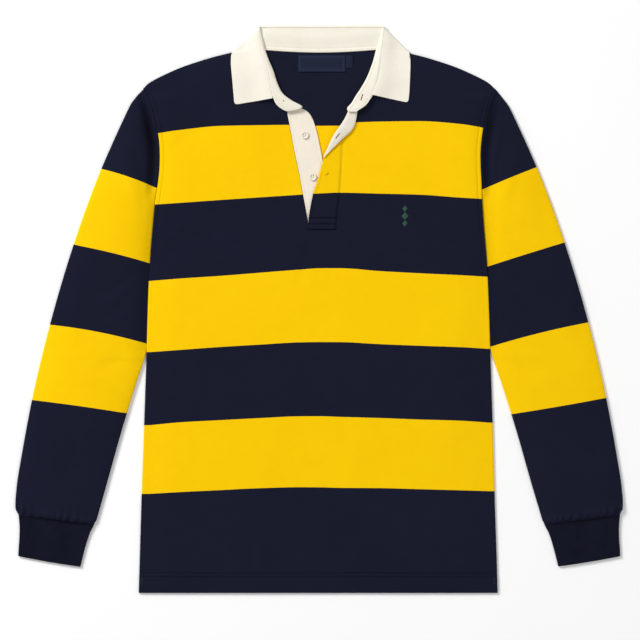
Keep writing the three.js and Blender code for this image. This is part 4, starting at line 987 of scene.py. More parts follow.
def make_cuff(side):
    side_out, side_in = curve(CUFF[side]["out"]), curve(CUFF[side]["inn"])
    s = -1 if side == "left" else 1
    us = np.array([0, 0.015, 0.04, 0.08, 0.15, 0.25, 0.37, 0.5, 0.62, 0.74, 0.84, 0.92, 0.965, 0.985, 1.0])
    pitch, per = 2.3, 6
    out_r, in_r, wales, courses = [], [], [], []
    arc = np.radians(np.linspace(-90, 90, 9))
    for u in us:
        A, B = side_out(u), side_in(u)
        W = float(np.linalg.norm(B - A))
        R = 1.9
        ribs = int(round((106.0) / pitch))
        across = np.linspace(R, W - R, ribs * per + 1)
        phase = np.linspace(0, ribs * math.tau, len(across))
        end = math.sqrt(max(0.0, 1 - (1 - min((1 - u) / 0.03, 1)) ** 2))
        seam = math.sqrt(max(0.0, 1 - (1 - min(u / 0.04, 1)) ** 2))
        depth = 0.30 * min(end, seam + 0.3)
        puff = 0.35 * math.sin(math.pi * u) + 0.5 * math.exp(-(u / 0.12) ** 2)
        lift = np.sin(math.pi * (across / W))
        h = 3.0 + 0.65 * end * (0.4 + 0.6 * seam) + puff * lift - depth + depth * np.cos(phase) * (0.75 + 0.25 * np.sin(across * 0.13))
        h = h + 0.18 * waves(across, np.full_like(across, u * 57), 21, 30, 1.0)

        def loop(t):
            h0, h1 = h[0], h[-1]
            a0 = t + (R - t * 0.7) * (1 - np.cos(arc))
            z0 = h0 / 2 + (h0 / 2 - min(t, h0 * 0.4)) * np.sin(arc)
            a1 = W - (t + (R - t * 0.7) * (1 - np.cos(arc[::-1])))
            z1 = h1 / 2 + (h1 / 2 - min(t, h1 * 0.4)) * np.sin(arc[::-1])
            tt = np.minimum(t, h * 0.4)
            under = across[::-1][per:-per:per]
            a = np.concatenate([a0[:-1], across, a1[1:], under])
            z = np.concatenate([z0[:-1], h - tt, z1[1:], np.interp(under, across, tt)])
            f = (a / W)[:, None]
            pts = A[None] * (1 - f) + B[None] * f
            # the bottom edge bows a touch
            pts[:, 1] -= 0.8 * u * np.sin(math.pi * f[:, 0])
            return np.column_stack([pts, z]), a
        ring, a = loop(0.0)
        inn, _ = loop(RIB * 0.9)
        out_r.append(ring)
        in_r.append(inn)
        wales.append(a)
        courses.append(np.full(len(a), u * 57))
    ro, ri = np.array(out_r), np.array(in_r)
    n, k = ro.shape[:2]
    V = np.concatenate([ro.reshape(-1, 3), ri.reshape(-1, 3)])
    Fo = quads(n, k, 0, wrap=True, flip=(s < 0))
    Fi = quads(n, k, n * k, wrap=True, flip=(s > 0))
    ends = []
    for row, turn in ((0, False), (n - 1, True)):
        for j in range(k):
            j2 = (j + 1) % k
            q = [row * k + j, n * k + row * k + j, n * k + row * k + j2, row * k + j2]
            if turn != (s < 0):
                q = q[::-1]
            ends.append(q)
    name = "cuff_" + side
    ob = mesh_object(name + "_rib", V, np.concatenate([Fo, Fi, np.array(ends)]),
                     dict(wale=np.concatenate([np.concatenate(wales)] * 2), course=np.concatenate([np.concatenate(courses)] * 2)), RIB_KNIT)
    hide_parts(name)
    return ob


sleeves = {side: make_sleeve(side) for side in ("left", "right")}
cuffs = {side: make_cuff(side) for side in ("left", "right")}

# ---------------------------------------------------------------- placket strip and facing
prow = spaced(160.3, [0, 0.9, 2.2, 4, 6.5], 3.4, [0, 0.8, 1.8, 3.0, 4.5, 6.5])
pcol = spaced(36, [0, 0.9, 1.8, 2.8, 4.0, 5.4, 7], 2.6)
py = 118.3 + 160.3 * prow
GX = np.stack([mix(strip_left(py), strip_right(py), c) for c in pcol], 1)
GY = np.repeat(py[:, None], len(pcol), 1)
dx = np.minimum(GX - strip_left(py)[:, None], strip_right(py)[:, None] - GX)
low = CLOTH + back_low(GX, GY) + SEAM
GZ = low + PLACKET_CLOTH / 2
GZ = GZ + 0.10 * waves(GX, GY, 31, 34, 1.0) * ease(2, 8, dx) - 0.22 * np.exp(-((dx - 3.2) / 0.9) ** 2)
GZ = GZ + 0.05 * np.sin(GY * 1.5 + np.sin(GY * 0.3)) * np.exp(-((dx - 3.2) / 2.5) ** 2)
PV = np.stack([GX, GY, GZ], -1).reshape(-1, 3)
placket = cloth("placket_strip", PV, quads(len(prow), len(pcol)), PLACKET_CLOTH, {}, PLACKET_TWILL)
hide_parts("placket_under")

fac_t = np.linspace(0, 1, 41)
fdir = free(fac_t) - roll(fac_t)
flen = np.linalg.norm(fdir, axis=1, keepdims=True)
fdir /= flen
fz_u = np.interp(fac_t, lap_t, flap_z[:, 5])
fz_out = [np.interp(fac_t, lap_t, flap_z[:, 6 + k]) for k in range(8)]
fz_l = np.interp(fac_t, lap_t, zl)
FAC = []
grow = 0.25 + 0.75 * ease(0, 0.3, fac_t)
lift = (CLOTH / 2 + 0.12 + FACING_CLOTH / 2) * grow
RF = 2.0
for a in (10.0, 6.0, 3.0):   # under the front
    q = roll(fac_t) + fdir * (RF + a) * np.minimum(1, flen / 14)
    FAC.append(np.column_stack([q, fz_l - lift]))
for a in (0, 25, 50, 75, 90, 105, 130, 155, 180):
    top = fz_u + lift
    bot = fz_l - lift
    r = (top - bot) / 2
    q = roll(fac_t) + fdir * (RF - RF * math.sin(math.radians(a))) * np.minimum(1, flen / 10)
    FAC.append(np.column_stack([q, (top + bot) / 2 - r * math.cos(math.radians(a))]))
fracs = (0.12, 0.28, 0.45, 0.62, 0.78, 0.9, 0.96, 1.0)
stop = 1 - 1.2 / np.maximum(flen[:, 0], 3)
for k, f in enumerate(np.linspace(0.12, 1.0, 12)):
    ff = f * stop
    start = roll(fac_t) + fdir * RF * np.minimum(1, flen / 10)
    q = start + (free(fac_t) - start) * ff[:, None]
    zz = np.array([np.interp(ff[i], (0,) + fracs, [fz_u[i]] + [z[i] for z in fz_out]) for i in range(len(fac_t))]) + lift
    FAC.append(np.column_stack([q, zz]))
FAC = np.stack(FAC, 1)
FAC[:, :, 2] += 0.0
facing = cloth("placket_facing_cotton", FAC.reshape(-1, 3), quads(len(fac_t), FAC.shape[1], flip=True), FACING_CLOTH, {}, FACING_COTTON)
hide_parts("placket_facing")


# ---------------------------------------------------------------- collar stand
def stand_band(table, side):
    keys = np.linspace(0, 1, len(table["n"]))
    f = {k: curve(table[k]) for k in ("n", "r", "j")}
    # even fractions by row, not by length, so that the three runs stay in step
    g = {k: smooth(np.arange(len(table[k])), table[k]) for k in ("n", "r", "j", "zl", "zr", "zj")}
    T = np.concatenate([np.linspace(0, len(keys) - 2, 64), len(keys) - 2 + np.array([0.25, 0.5, 0.72, 0.88, 0.96, 1.0])])
    n, r, j = g["n"](T), g["r"](T), g["j"](T)
    zl, zr, zj = g["zl"](T), g["zr"](T), g["zj"](T)
    rows = []
    toN = n - r
    ln = np.linalg.norm(toN, axis=1, keepdims=True)
    toN /= np.maximum(ln, 1e-6)
    toJ = j - r
    lj = np.linalg.norm(toJ, axis=1, keepdims=True)
    toJ /= np.maximum(lj, 1e-6)
    rad = (zr - zl) / 2
    rh = np.minimum(rad, np.minimum(ln[:, 0], lj[:, 0] * 0.75))
    for a in (1.0, 0.75, 0.5, 0.25):
        q = n + (r + toN * (rh + 0.6)[:, None] - n) * (1 - a)
        rows.append(np.column_stack([q, zl]))
    for a in (0, 20, 40, 60, 80, 100, 120, 140, 160, 180):
        c, s_ = math.cos(math.radians(a)), math.sin(math.radians(a))
        w = ease(0, 180, a)
        dirn = toN * (1 - w) + toJ * w
        dirn /= np.linalg.norm(dirn, axis=1, keepdims=True)
        q = r + dirn * (0.6 + rh * (1 - s_))[:, None]
        rows.append(np.column_stack([q, (zl + zr) / 2 - rad * c]))
    inner = r + toJ * (rh + 0.6)[:, None]
    for a in (0.12, 0.25, 0.4, 0.55, 0.7, 0.82, 0.92, 1.0):
        q = inner + (j - inner) * a
        rows.append(np.column_stack([q, zr + (zj - zr) * math.sin(a * math.pi / 2) ** 1.3]))
    tuck = 1 - ease(5.6, 6.4, T)     # the free tabs end at their own edge
    for a, drop in ((0.7, 0.35), (1.5, 1.0)):
        rows.append(np.column_stack([j + toJ * (a * tuck + 0.12 * (1 - tuck))[:, None], zj - drop * tuck - 0.1 * (1 - tuck) * a]))
    G = np.stack(rows, 1)
    return G, T


band_l, TL = stand_band(STAND_LEFT, "left")
band_r, TR_ = stand_band(STAND_RIGHT, "right")

# behind: flat band from the neck seam to its top edge; the seam allowance shows as a raised tape along its foot
nb, mb = 70, 30
w = np.linspace(0, 1, nb)
bx_n = mix(-95.0, 96.5, w)
bx_j = mix(-81.5, 88.5, w)
yn = 360.2 - 5.2 * np.sin(math.pi * w)
yj = np.full_like(w, 390.6)
vb_ = spaced(30, [0, 0.7, 1.6, 2.8, 3.8, 4.6, 5.4, 6.4, 8], 1.3, [0, 0.8])
BK = []
for v in vb_:
    x = mix(bx_n, bx_j, v)
    y = mix(yn, yj, v)
    d = (y - yn)
    z = 3.55 + 0.0 * x
    z = z + 0.40 * (1 - ease(3.6, 5.0, d)) - 0.45 * np.exp(-((d - 4.9) / 0.8) ** 2)
    z = z + 0.9 * ease(6, 21, d) - 0.75 * ease(21, 31, d)
    z = z + 0.30 * waves(x, y, 41, 60, 1.0) * ease(3, 10, d)
    z = z - 0.9 * (1 - ease(0.0, 0.09, w)) * ease(4, 12, d) - 0.5 * ease(0.93, 1.0, w) * ease(4, 12, d)
    BK.append(np.column_stack([x, y, z]))
BK = np.stack(BK, 0)

parts_v, parts_f, start = [], [], 0
for G, flip in ((band_l, True), (band_r, False)):
    parts_v.append(G.reshape(-1, 3))
    parts_f.append(quads(G.shape[0], G.shape[1], start, flip=flip))
    start += G.shape[0] * G.shape[1]
parts_v.append(BK.reshape(-1, 3))
parts_f.append(quads(BK.shape[0], BK.shape[1], start))
stand = cloth("collar_stand_twill", np.concatenate(parts_v), np.concatenate(parts_f), STAND_CLOTH, {}, STAND_TWILL_SHADED)
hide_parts("collar_stand")

# ---------------------------------------------------------------- collar leaf
LJ, LE, LU = (smooth(np.arange(21), LEAF[k]) for k in ("j", "e", "under"))
T = np.concatenate([
    [0, 0.05, 0.11, 0.18, 0.26, 0.36], np.linspace(0.5, 4, 34), np.linspace(4, 5, 6)[1:], np.linspace(5, 7, 17)[1:],
    np.linspace(7, 13, 60)[1:], np.linspace(13, 15, 17)[1:], np.linspace(15, 16, 6)[1:], np.linspace(16, 19.5, 34)[1:],
    [19.64, 19.74, 19.82, 19.89, 19.95, 20.0]])
Jp, Ep, Uw = LJ(T), LE(T), LU(T)
zj_l = smooth(np.array(STAND_LEFT["j"])[::-1, 1][2:], np.array(STAND_LEFT["zj"])[::-1][2:])
zj_r = smooth(np.array(STAND_RIGHT["j"])[::-1, 1][2:], np.array(STAND_RIGHT["zj"])[::-1][2:])
fr = np.array([0.035, 0.07, 0.12, 0.18, 0.25, 0.33, 0.41, 0.5, 0.59, 0.67, 0.75, 0.82, 0.88, 0.925, 0.955, 0.98, 1.0])
lip_back = [(389.3, 4.15), (390.6, 4.25), (391.8, 3.95), (392.6, 3.2), (392.8, 2.3), (392.3, 1.35), (391.4, 0.8)]
LP = Jp[:, None] + (Ep - Jp)[:, None] * fr[None, :, None]
shoulder_cap = np.where(np.abs(LP[..., 0]) > 98, shoulder(np.abs(LP[..., 0])), 360.5)
LREST = front_mid(LP[..., 0], np.minimum(LP[..., 1], shoulder_cap)) + 0.6 + 0.25 + LEAF_CLOTH / 2
rows_leaf = []
for i in range(len(T)):
    j, e, uw = Jp[i], Ep[i], float(Uw[i])
    d = e - j
    L = np.linalg.norm(d)
    d = d / L
    zj = float((zj_l if j[0] < 0 else zj_r)(j[1]))
    row = []
    for k, (yy, zz) in enumerate(lip_back):
        frontp = np.array([*(j + d * (-0.9 + 0.36 * k)), zj - (0.34, 0.18, 0.08, 0.02, 0, 0, 0)[k]])
        backp = np.array([j[0], yy + (j[1] - 390.7) * 0.3, zz])
        row.append(frontp * (1 - uw) + backp * uw)
    for k, f in enumerate(fr):
        p = j + (e - j) * f
        rest = float(LREST[i, k])
        crown = 0.5 * math.sin(math.pi * min(1, f)) + 0.25 * math.sin(3 * f + 0.35 * T[i])
        top = rest + max(0.0, (zj - rest)) * (1 - float(ease(0, 0.62, f))) ** 1.15 + crown * 0.6 * (1 - f)
        z = top * (1 - uw) + (LEAF_CLOTH / 2) * uw
        row.append(np.array([p[0], p[1], z]))
    rows_leaf.append(row)
LG = np.array(rows_leaf)
# round the two points
for end, sgn in ((0, 1), (len(T) - 1, -1)):
    R = 5.0
    corner = LG[end, -1].copy()
    along = LG[end + 12 * sgn, -1] - corner
    along /= np.linalg.norm(along)
    into = LG[end, -8] - corner
    into /= np.linalg.norm(into)
    for a in range(0, 14):
        for b in range(LG.shape[1] - 12, LG.shape[1]):
            p = LG[end + a * sgn, b]
            q = p - corner
            M = np.array([[into[0], along[0]], [into[1], along[1]]])
            st = np.linalg.solve(M, q[:2])
            if st[0] < R and st[1] < R:
                S, Tt = 1 - np.clip(st / R, 0, 1)
                ns = S * math.sqrt(1 - Tt * Tt / 2)
                nt_ = Tt * math.sqrt(1 - S * S / 2)
                amount = 0.85
                st2 = R * (1 - np.array([mix(S, ns, amount), mix(Tt, nt_, amount)]))
                p[:2] = corner[:2] + M @ st2
LV = LG.reshape(-1, 3)
leaf = cloth("collar_leaf_twill", LV, quads(LG.shape[0], LG.shape[1], flip=True), LEAF_CLOTH, {}, LEAF_TWILL)
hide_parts("collar_leaf")

# ---------------------------------------------------------------- labels
def make_label(name, x0, x1, y0, y1, border):
    us = spaced(x1 - x0, [0, 0.5, 1.1, 1.8, 2.6], 1.6 if x1 - x0 > 20 else 1.2)
    vs = spaced(y1 - y0, [0, 0.5, 1.1, 1.8, 2.6], 1.4)
    X, Y = np.meshgrid(mix(x0, x1, us), mix(y0, y1, vs))
    d = np.minimum(np.minimum(X - x0, x1 - X), np.minimum(Y - y0, y1 - Y))
    base_z = np.interp(Y, [285, 332, 352], [1.2, 2.95, 2.95])
    Z = base_z + 0.55 + SEAM + 0.18 * np.sin((X - x0) / (x1 - x0) * math.pi) + 0.12 * np.sin(Y * 0.35) - 0.25 * np.exp(-((d - 1.3) / 0.5) ** 2)
    edge = border * np.exp(-((d - 3.0) / 0.45) ** 2)
    ob = cloth(name + "_woven", np.stack([X, Y, Z], -1).reshape(-1, 3), quads(len(vs), len(us)), 0.9,
               dict(wale=X.ravel(), course=Y.ravel(), edge=edge.ravel()), LABEL_WOVEN)
    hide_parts(name)
    return ob


label_obs = [make_label(k, *v, border=(1.0 if k == "neck_label" else 0.0)) for k, v in LABELS.items()]


# ---------------------------------------------------------------- buttons
def lathe(profile, n=48):
    prof = np.array(profile, float)
    verts, faces, tris = [], [], []
    ring = []
    for r, z in prof:
        if r < 1e-6:
            ring.append([len(verts)])
            verts.append((0, 0, z))
        else:
            ids = []
            for k in range(n):
                a = math.tau * k / n
                ids.append(len(verts))
                verts.append((r * math.cos(a), r * math.sin(a), z))
            ring.append(ids)
    for a, b in zip(ring[:-1], ring[1:]):
        for k in range(n):
            k2 = (k + 1) % n
            if len(a) == 1:
                tris.append((a[0], b[k2], b[k]))
            elif len(b) == 1:
                tris.append((a[k], a[k2], b[0]))
            else:
                faces.append((a[k], a[k2], b[k2], b[k]))
    return verts, faces, tris


def button_mesh(name, x, y, z, turn):
    prof = [(0, 0), (4.4, 0), (5.05, 0.25), (5.38, 0.8), (5.4, 1.3), (5.15, 1.85), (4.75, 2.15), (4.3, 2.2), (3.9, 2.02), (3.55, 1.72), (3.1, 1.58), (1.6, 1.52), (0, 1.5)]
    v, f, t = lathe(prof)
    me = bpy.data.meshes.new(name + "_tmp")
    me.from_pydata([tuple(c) for c in v], [], [list(q) for q in f] + [list(q) for q in t])
    me.update()
    body = bpy.data.objects.new(name + "_tmp", me)
    bpy.context.scene.collection.objects.link(body)
    cutters = []
    for dx, dy in ((1, 1), (1, -1), (-1, 1), (-1, -1)):
        cv, cf, ct = lathe([(0, -2), (0.82, -2), (0.82, 4), (0, 4)], 20)
        cm = bpy.data.meshes.new("hole")
        a = math.radians(turn)
        ox, oy = 1.45 * (dx * math.cos(a) - dy * math.sin(a)), 1.45 * (dx * math.sin(a) + dy * math.cos(a))
        cm.from_pydata([(p[0] + ox, p[1] + oy, p[2]) for p in cv], [], [list(q) for q in cf] + [list(q) for q in ct])
        cm.update()
        co = bpy.data.objects.new("hole", cm)
        bpy.context.scene.collection.objects.link(co)
        cutters.append((co, ox, oy))
        mod = body.modifiers.new("cut", "BOOLEAN")
        mod.operation, mod.solver, mod.object = "DIFFERENCE", "EXACT", co
    bpy.context.view_layer.update()
    ev = body.evaluated_get(bpy.context.evaluated_depsgraph_get())
    done = bpy.data.meshes.new_from_object(ev)
    verts = np.array([p.co for p in done.vertices]) + np.array([x, y, z])
    faces = [list(p.vertices) for p in done.polygons]
    holes = [(ox, oy) for _, ox, oy in cutters]
    for co, _, _ in cutters:
        bpy.data.objects.remove(co)
    bpy.data.objects.remove(body)
    ob = mesh_object(name + "_plastic", verts, faces, {}, BUTTON_PLASTIC)
    ob.data.polygons.foreach_set("use_smooth", np.array([True] * len(ob.data.polygons)))
    for e in ob.data.edges:
        pass
    ob.data.set_sharp_from_angle(angle=math.radians(40))
    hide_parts(name)
    return ob, holes


# ---------------------------------------------------------------- threads and stitches
class Threads:
    """Short rounded strands of thread, gathered into one mesh."""
    def __init__(self):
        self.v, self.f, self.h = [], [], []

    def strand(self, a, b, radius, arch=0.12, hoop=0.0, sides=6):
        a, b = np.array(a, float), np.array(b, float)
        d = b - a
        L = np.linalg.norm(d)
        d /= L
        up = np.array([0, 0, 1.0])
        s = np.cross(d, up)
        s /= max(np.linalg.norm(s), 1e-9)
        up = np.cross(s, d)
        start = len(self.v)
        stations = [(0.0, 0.35, -1.0), (0.12, 0.85, -0.2), (0.5, 1.0, 1.0), (0.88, 0.85, -0.2), (1.0, 0.35, -1.0)]
        for t, w, lift in stations:
            c = a + d * (L * t) + up * (arch * lift)
            for k in range(sides):
                q = math.tau * k / sides
                self.v.append(c + radius * w * (s * math.cos(q) + up * math.sin(q)))
                self.h.append(hoop)
        for r in range(len(stations) - 1):
            for k in range(sides):
                k2 = (k + 1) % sides
                self.f.append([start + r * sides + k, start + r * sides + k2, start + (r + 1) * sides + k2, start + (r + 1) * sides + k])
        self.f.append([start + k for k in range(sides)][::-1])
        self.f.append([start + 4 * sides + k for k in range(sides)])

    def run(self, points, surface, pitch=3.0, share=0.72, radius=0.26, sink=0.02, hoop=None):
        """A line of stitches along a run of points; surface gives the height of the cloth's top."""
        c = curve(points, len(points) > 2)
        n = max(1, int(c.length / pitch))
        ks = np.arange(n)
        A, B = c((ks + (1 - share) / 2) / n), c((ks + (1 + share) / 2) / n)
        za, zb2 = surface(A[:, 0], A[:, 1]), surface(B[:, 0], B[:, 1])
        h = hoop(A[:, 0], A[:, 1]) if hoop else np.zeros(n)
        rise = radius * 0.55 - sink
        for k in range(n):
            self.strand((A[k, 0], A[k, 1], za[k] + rise), (B[k, 0], B[k, 1], zb2[k] + rise), radius, 0.10, float(h[k]))

    def finish(self, name, material, slot):
        attrs = dict(hoop=self.h, wale=np.zeros(len(self.h)), course=np.zeros(len(self.h)))
        return mesh_object(name, np.array(self.v), self.f, attrs, material)


hem_a = [(x, -363.4 + 0.3 * math.sin(x * 0.02)) for x in np.linspace(-244, 243.4, 40)]
hem_b = [(x, -368.2 + 0.3 * math.sin(x * 0.02)) for x in np.linspace(-244.2, 243.6, 40)]
th = Threads()
th.run(hem_a, front_top, 3.1, hoop=body_hoop)
th.run(hem_b, front_top, 3.1, hoop=body_hoop)
th.finish("stitching_hem", JERSEY_THREAD_SHADED, "body_jersey")

th = Threads()
for edge, s in ((edge_left, 1), (edge_right, -1)):
    ys = np.linspace(80, 300, 50)
    th.run([(float(edge(yy)) + s * 5.4, yy) for yy in ys], front_top, 3.0, radius=0.22, hoop=body_hoop)
th.finish("stitching_armholes", JERSEY_THREAD_SHADED, "body_jersey")

# side-seam tacks at the hem corners
th = Threads()
for sx in (-1, 1):
    edge = edge_left if sx < 0 else edge_right
    for k in range(5):
        yy = -378 + k * 2.0
        xx = float(edge(yy)) - sx * 4.2
        zz = float(front_top(np.array([xx]), np.array([yy]))[0])
        th.strand((xx - 1.6, yy, zz + 0.1), (xx + 1.6, yy, zz + 0.1), 0.26, 0.1)
th.finish("hem_tacks", NAVY_THREAD, "body_jersey")

# placket: the buttonhole band's stitch line, the foot box, the slit edge
th = Threads()
band_pts = [(float(stitch_x(yy)), yy) for yy in np.linspace(112, 262, 40)]
th.run(band_pts, front_top, 3.0, radius=0.25, hoop=body_hoop)
slit_in = [(x + 3.0, y) for x, y in SLIT[1:-1]]
th.run([(-10.6, 127.4)] + slit_in, front_top, 3.0, radius=0.25, hoop=body_hoop)
th.finish("stitching_placket", JERSEY_THREAD_SHADED, "body_jersey")
# foot-box stitches in the 0.42 dimmed jersey: painted shade of the sunk box lines
th = Threads()
for yy in (110.6, 118.3, 126.6):
    th.run([(-15.8, yy), (float(stitch_x(yy)) - 0.4, yy)], front_top, 2.6, radius=0.28, hoop=body_hoop)
th.run([(-16.2, 110.6), (-16.2, 126.6)], front_top, 2.6, radius=0.28, hoop=body_hoop)
th.finish("stitching_foot", JERSEY_SLOT_SHADE, "body_jersey")


def strip_top(x, y):
    dxx = np.minimum(x - strip_left(y), strip_right(y) - x)
    return CLOTH + back_low(x, y) + SEAM + PLACKET_CLOTH - 0.22 * np.exp(-((dxx - 3.2) / 0.9) ** 2)


def grid_top(G, half):
    """Height of the top of a sheet of points near (x, y)."""
    pts = G.reshape(-1, 3)

    def f(x, y):
        out = []
        for a, b in zip(np.atleast_1d(x), np.atleast_1d(y)):
            d = (pts[:, 0] - a) ** 2 + (pts[:, 1] - b) ** 2
            near = np.argpartition(d, 5)[:5]
            out.append(pts[near, 2].max() + half)
        return np.array(out)
    return f


facing_top = grid_top(FAC, FACING_CLOTH / 2)
left_top = grid_top(band_l[:, 12:], STAND_CLOTH / 2)
right_top = grid_top(band_r[:, 12:], STAND_CLOTH / 2)
leaf_top = grid_top(LG, LEAF_CLOTH / 2)

th = Threads()
th.run([(float(strip_left(yy)) + 3.2, yy) for yy in np.linspace(124, 268, 30)], strip_top, 2.8, radius=0.22)
# turned-out facing: stitched near its free edge
ff = [tuple(free(t) - fd * 3.2) for t, fd in zip(np.linspace(0.3, 0.97, 14), (free(np.linspace(0.3, 0.97, 14)) - roll(np.linspace(0.3, 0.97, 14))) /
      np.linalg.norm(free(np.linspace(0.3, 0.97, 14)) - roll(np.linspace(0.3, 0.97, 14)), axis=1, keepdims=True))]
th.run(ff, facing_top, 2.8, radius=0.22)
# along the inner edge of the stand, both sides, and round the tabs
for tab, top in ((STAND_LEFT, left_top), (STAND_RIGHT, right_top)):
    r, j = np.array(tab["r"]), np.array(tab["j"])
    d = (j - r) / np.linalg.norm(j - r, axis=1, keepdims=True)
    inner_line = [tuple(r[k] + d[k] * 3.4) for k in range(3, 9)]
    th.run(inner_line, top, 2.6, radius=0.2)
    outer_line = [tuple(j[k] - d[k] * 3.0) for k in (6, 7, 8)]
    th.run(outer_line, top, 2.6, radius=0.2)
# back: the tape along the neck seam
th.run([(mix(-93.0, 94.5, a), 361.2 - 5.2 * math.sin(math.pi * a) + 1.2) for a in np.linspace(0.02, 0.98, 24)],
       lambda x, y: np.full_like(x, 3.55 + 0.40 + 0.6), 2.8, radius=0.2)
th.finish("stitching_cream", CREAM_THREAD, "placket_twill")

# buttons, with their thread
th = Threads()
for name, (x, y, z) in BUTTONS.items():
    if name == "button_collar":
        continue
    ob, holes = button_mesh(name, x, y, z, 12)
    top = z + 1.55
    for a, b in ((0, 2), (1, 3)):
        for o in (-0.28, 0.0, 0.28):
            pa, pb = np.array(holes[a]), np.array(holes[b])
            d = (pb - pa) / np.linalg.norm(pb - pa)
            side = np.array([-d[1], d[0]]) * o
            th.strand((x + pa[0] + side[0], y + pa[1] + side[1], top - 0.1), (x + pb[0] + side[0], y + pb[1] + side[1], top - 0.1), 0.17, 0.28)
    th.strand((x, y - 0.5, z - 0.6), (x, y + 0.5, z - 0.6), 0.9, 0.0)
ob, holes = button_mesh("button_collar", *BUTTONS["button_collar"], 30)
# the collar button's thread shows on this side of the tab
bx, by = BUTTONS["button_collar"][:2]
bz = float(left_top(np.array([bx]), np.array([by]))[0])
for k, (dx, dy) in enumerate(((-1.1, -0.9), (-0.7, -0.2), (-0.3, 0.3), (0.2, 0.8))):
    th.strand((bx + dx - 0.9, by + dy + 0.8, bz), (bx + dx + 1.0, by + dy - 0.7, bz), 0.24, 0.12)
th.finish("button_threads", CREAM_THREAD, "button")
th = Threads()
th.strand((bx - 0.2, by + 0.9, bz + 0.15), (bx + 0.5, by - 1.1, bz + 0.15), 0.42, 0.05)
th.finish("button_thread_end", NAVY_THREAD, "button")


# buttonholes: a slot in a ring of close stitches, with a dark strand laid in the slot as painted shade of its opening
def buttonhole(threads, slot_shades, cx, cy, angle, length, surface, radius=0.2):
    d = np.array([math.cos(angle), math.sin(angle)])
    n = np.array([-d[1], d[0]])
    count = int(length / 0.62)
    level = surface(cx + d[0] * (np.arange(count + 1) / count - 0.5) * length, cy + d[1] * (np.arange(count + 1) / count - 0.5) * length)
    for k in range(count + 1):
        c = np.array([cx, cy]) + d * (k / count - 0.5) * length
        for s in (-1, 1):
            a, b = c + n * s * 0.25, c + n * s * 1.35
            za = float(level[k]) + 0.06
            threads.strand((a[0], a[1], za), (b[0], b[1], za), radius, 0.06, sides=5)
    for s in (-1, 1):
        e = np.array([cx, cy]) + d * s * (length / 2 + 0.4)
        a, b = e - n * 1.3, e + n * 1.3
        za = float(surface(np.array([a[0]]), np.array([a[1]]))[0]) + 0.08
        threads.strand((a[0], a[1], za), (b[0], b[1], za), radius * 1.3, 0.08, sides=5)
    za = float(surface(np.array([cx]), np.array([cy]))[0]) + 0.03
    p, q = np.array([cx, cy]) - d * length * 0.46, np.array([cx, cy]) + d * length * 0.46
    slot_shades.strand((p[0], p[1], za), (q[0], q[1], za), 0.3 + 0.02 * length, 0.0, sides=6)


cream_holes, slot_shades = Threads(), Threads()
hx, hy = (337.6 - 318.75) * 1.38, (309.75 - 135.9) * 1.38
buttonhole(cream_holes, slot_shades, hx, hy, math.atan2(5.1, 3.9), 10.0, facing_top)
hx, hy = (361.7 - 318.75) * 1.38, (309.75 - 97.6) * 1.38
buttonhole(cream_holes, slot_shades, hx, hy, math.atan2(4.6, 1.3), 8.5, right_top)
cream_holes.finish("buttonholes_cream", CREAM_THREAD, "placket_twill")
slot_shades.finish("buttonhole_slots", NAVY_THREAD, "placket_twill")
jersey_hole, jersey_slot_shade = Threads(), Threads()
buttonhole(jersey_hole, jersey_slot_shade, 11.4, 187.2, math.radians(35), 5.0, front_top)
for k in range(len(jersey_hole.h)):
    jersey_hole.h[k] = 1.5
jersey_hole.finish("buttonhole_jersey", JERSEY_THREAD_SHADED, "body_jersey")
for k in range(len(jersey_slot_shade.h)):
    jersey_slot_shade.h[k] = 1.5
jersey_slot_shade.finish("buttonhole_jersey_slot", JERSEY_SLOT_SHADE, "body_jersey")

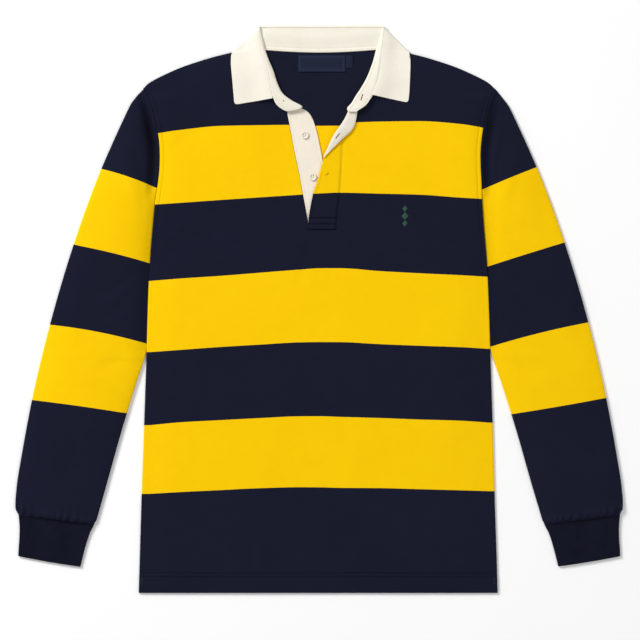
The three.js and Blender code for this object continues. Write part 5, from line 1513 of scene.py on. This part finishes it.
# chest: three small plain lozenges in satin stitch, one above the other
th = Threads()
cx, cy = (405.0 - 318.75) * 1.38, (309.75 - 216.0) * 1.38
for k, (oy, hw, hh) in enumerate(((10.2, 4.0, 4.6), (0.0, 5.4, 5.4), (-10.2, 4.0, 4.6))):
    rows = int(2 * hh / 0.62)
    for q in range(rows + 1):
        t = -1 + 2 * q / rows
        half = hw * (1 - abs(t))
        if half < 0.5:
            continue
        yy = cy + oy + t * hh
        zz = float(front_top(np.array([cx]), np.array([yy]))[0])
        th.strand((cx - half, yy - 0.25, zz + 0.10), (cx + half, yy + 0.25, zz + 0.10), 0.36, 0.30)
th.finish("chest_lozenges", GREEN_THREAD, "body_jersey")

# ---------------------------------------------------------------- floor, light, camera
fm = bpy.data.meshes.new("floor")
fm.from_pydata([(-4, -4, -0.0004), (4, -4, -0.0004), (4, 4, -0.0004), (-4, 4, -0.0004)], [], [(0, 1, 2, 3)])
fm.update()
floor = bpy.data.objects.new("floor", fm)
floor.data.materials.append(floor_material())
bpy.context.scene.collection.objects.link(floor)
floor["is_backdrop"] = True

world = bpy.data.worlds.new("studio")
bpy.context.scene.world = world
world.use_nodes = True
bg = world.node_tree.nodes["Background"]
bg.inputs["Color"].default_value = (1.0, 1.0, 1.0, 1)
bg.inputs["Strength"].default_value = 0.44


def area_light(name, place, target, size, power):
    data = bpy.data.lights.new(name, "AREA")
    data.shape = "RECTANGLE"
    data.size, data.size_y = size
    data.energy = power
    ob = bpy.data.objects.new(name, data)
    ob.location = place
    ob.rotation_euler = (Vector(target) - Vector(place)).to_track_quat("-Z", "Y").to_euler()
    bpy.context.scene.collection.objects.link(ob)
    return ob


area_light("key", (-3.6, 3.2, 3.0), (0, 0, 0), (1.7, 1.7), 290)
area_light("fill", (3.0, -2.6, 4.4), (0, 0, 0), (3.0, 3.0), 66)

cam = bpy.data.cameras.new("camera")
cam.sensor_width = 36.0
cam.sensor_fit = "AUTO"
cam.lens = 36.0 * 2.996 / 0.8832
cam.clip_end = 20
camera = bpy.data.objects.new("camera", cam)
camera.location = (0.0017, -0.0141, 3.0)
camera.rotation_euler = (0, 0, 0)
bpy.context.scene.collection.objects.link(camera)
bpy.context.scene.camera = camera
bpy.context.scene.view_settings.view_transform = "Standard"
bpy.context.scene.view_settings.look = "None"

bpy.context.view_layer.update()
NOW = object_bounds()
as_list = lambda box: [[float(c) for c in p] for p in box]
{"cad": as_list(CAD_BOX), "visual": as_list(NOW)}
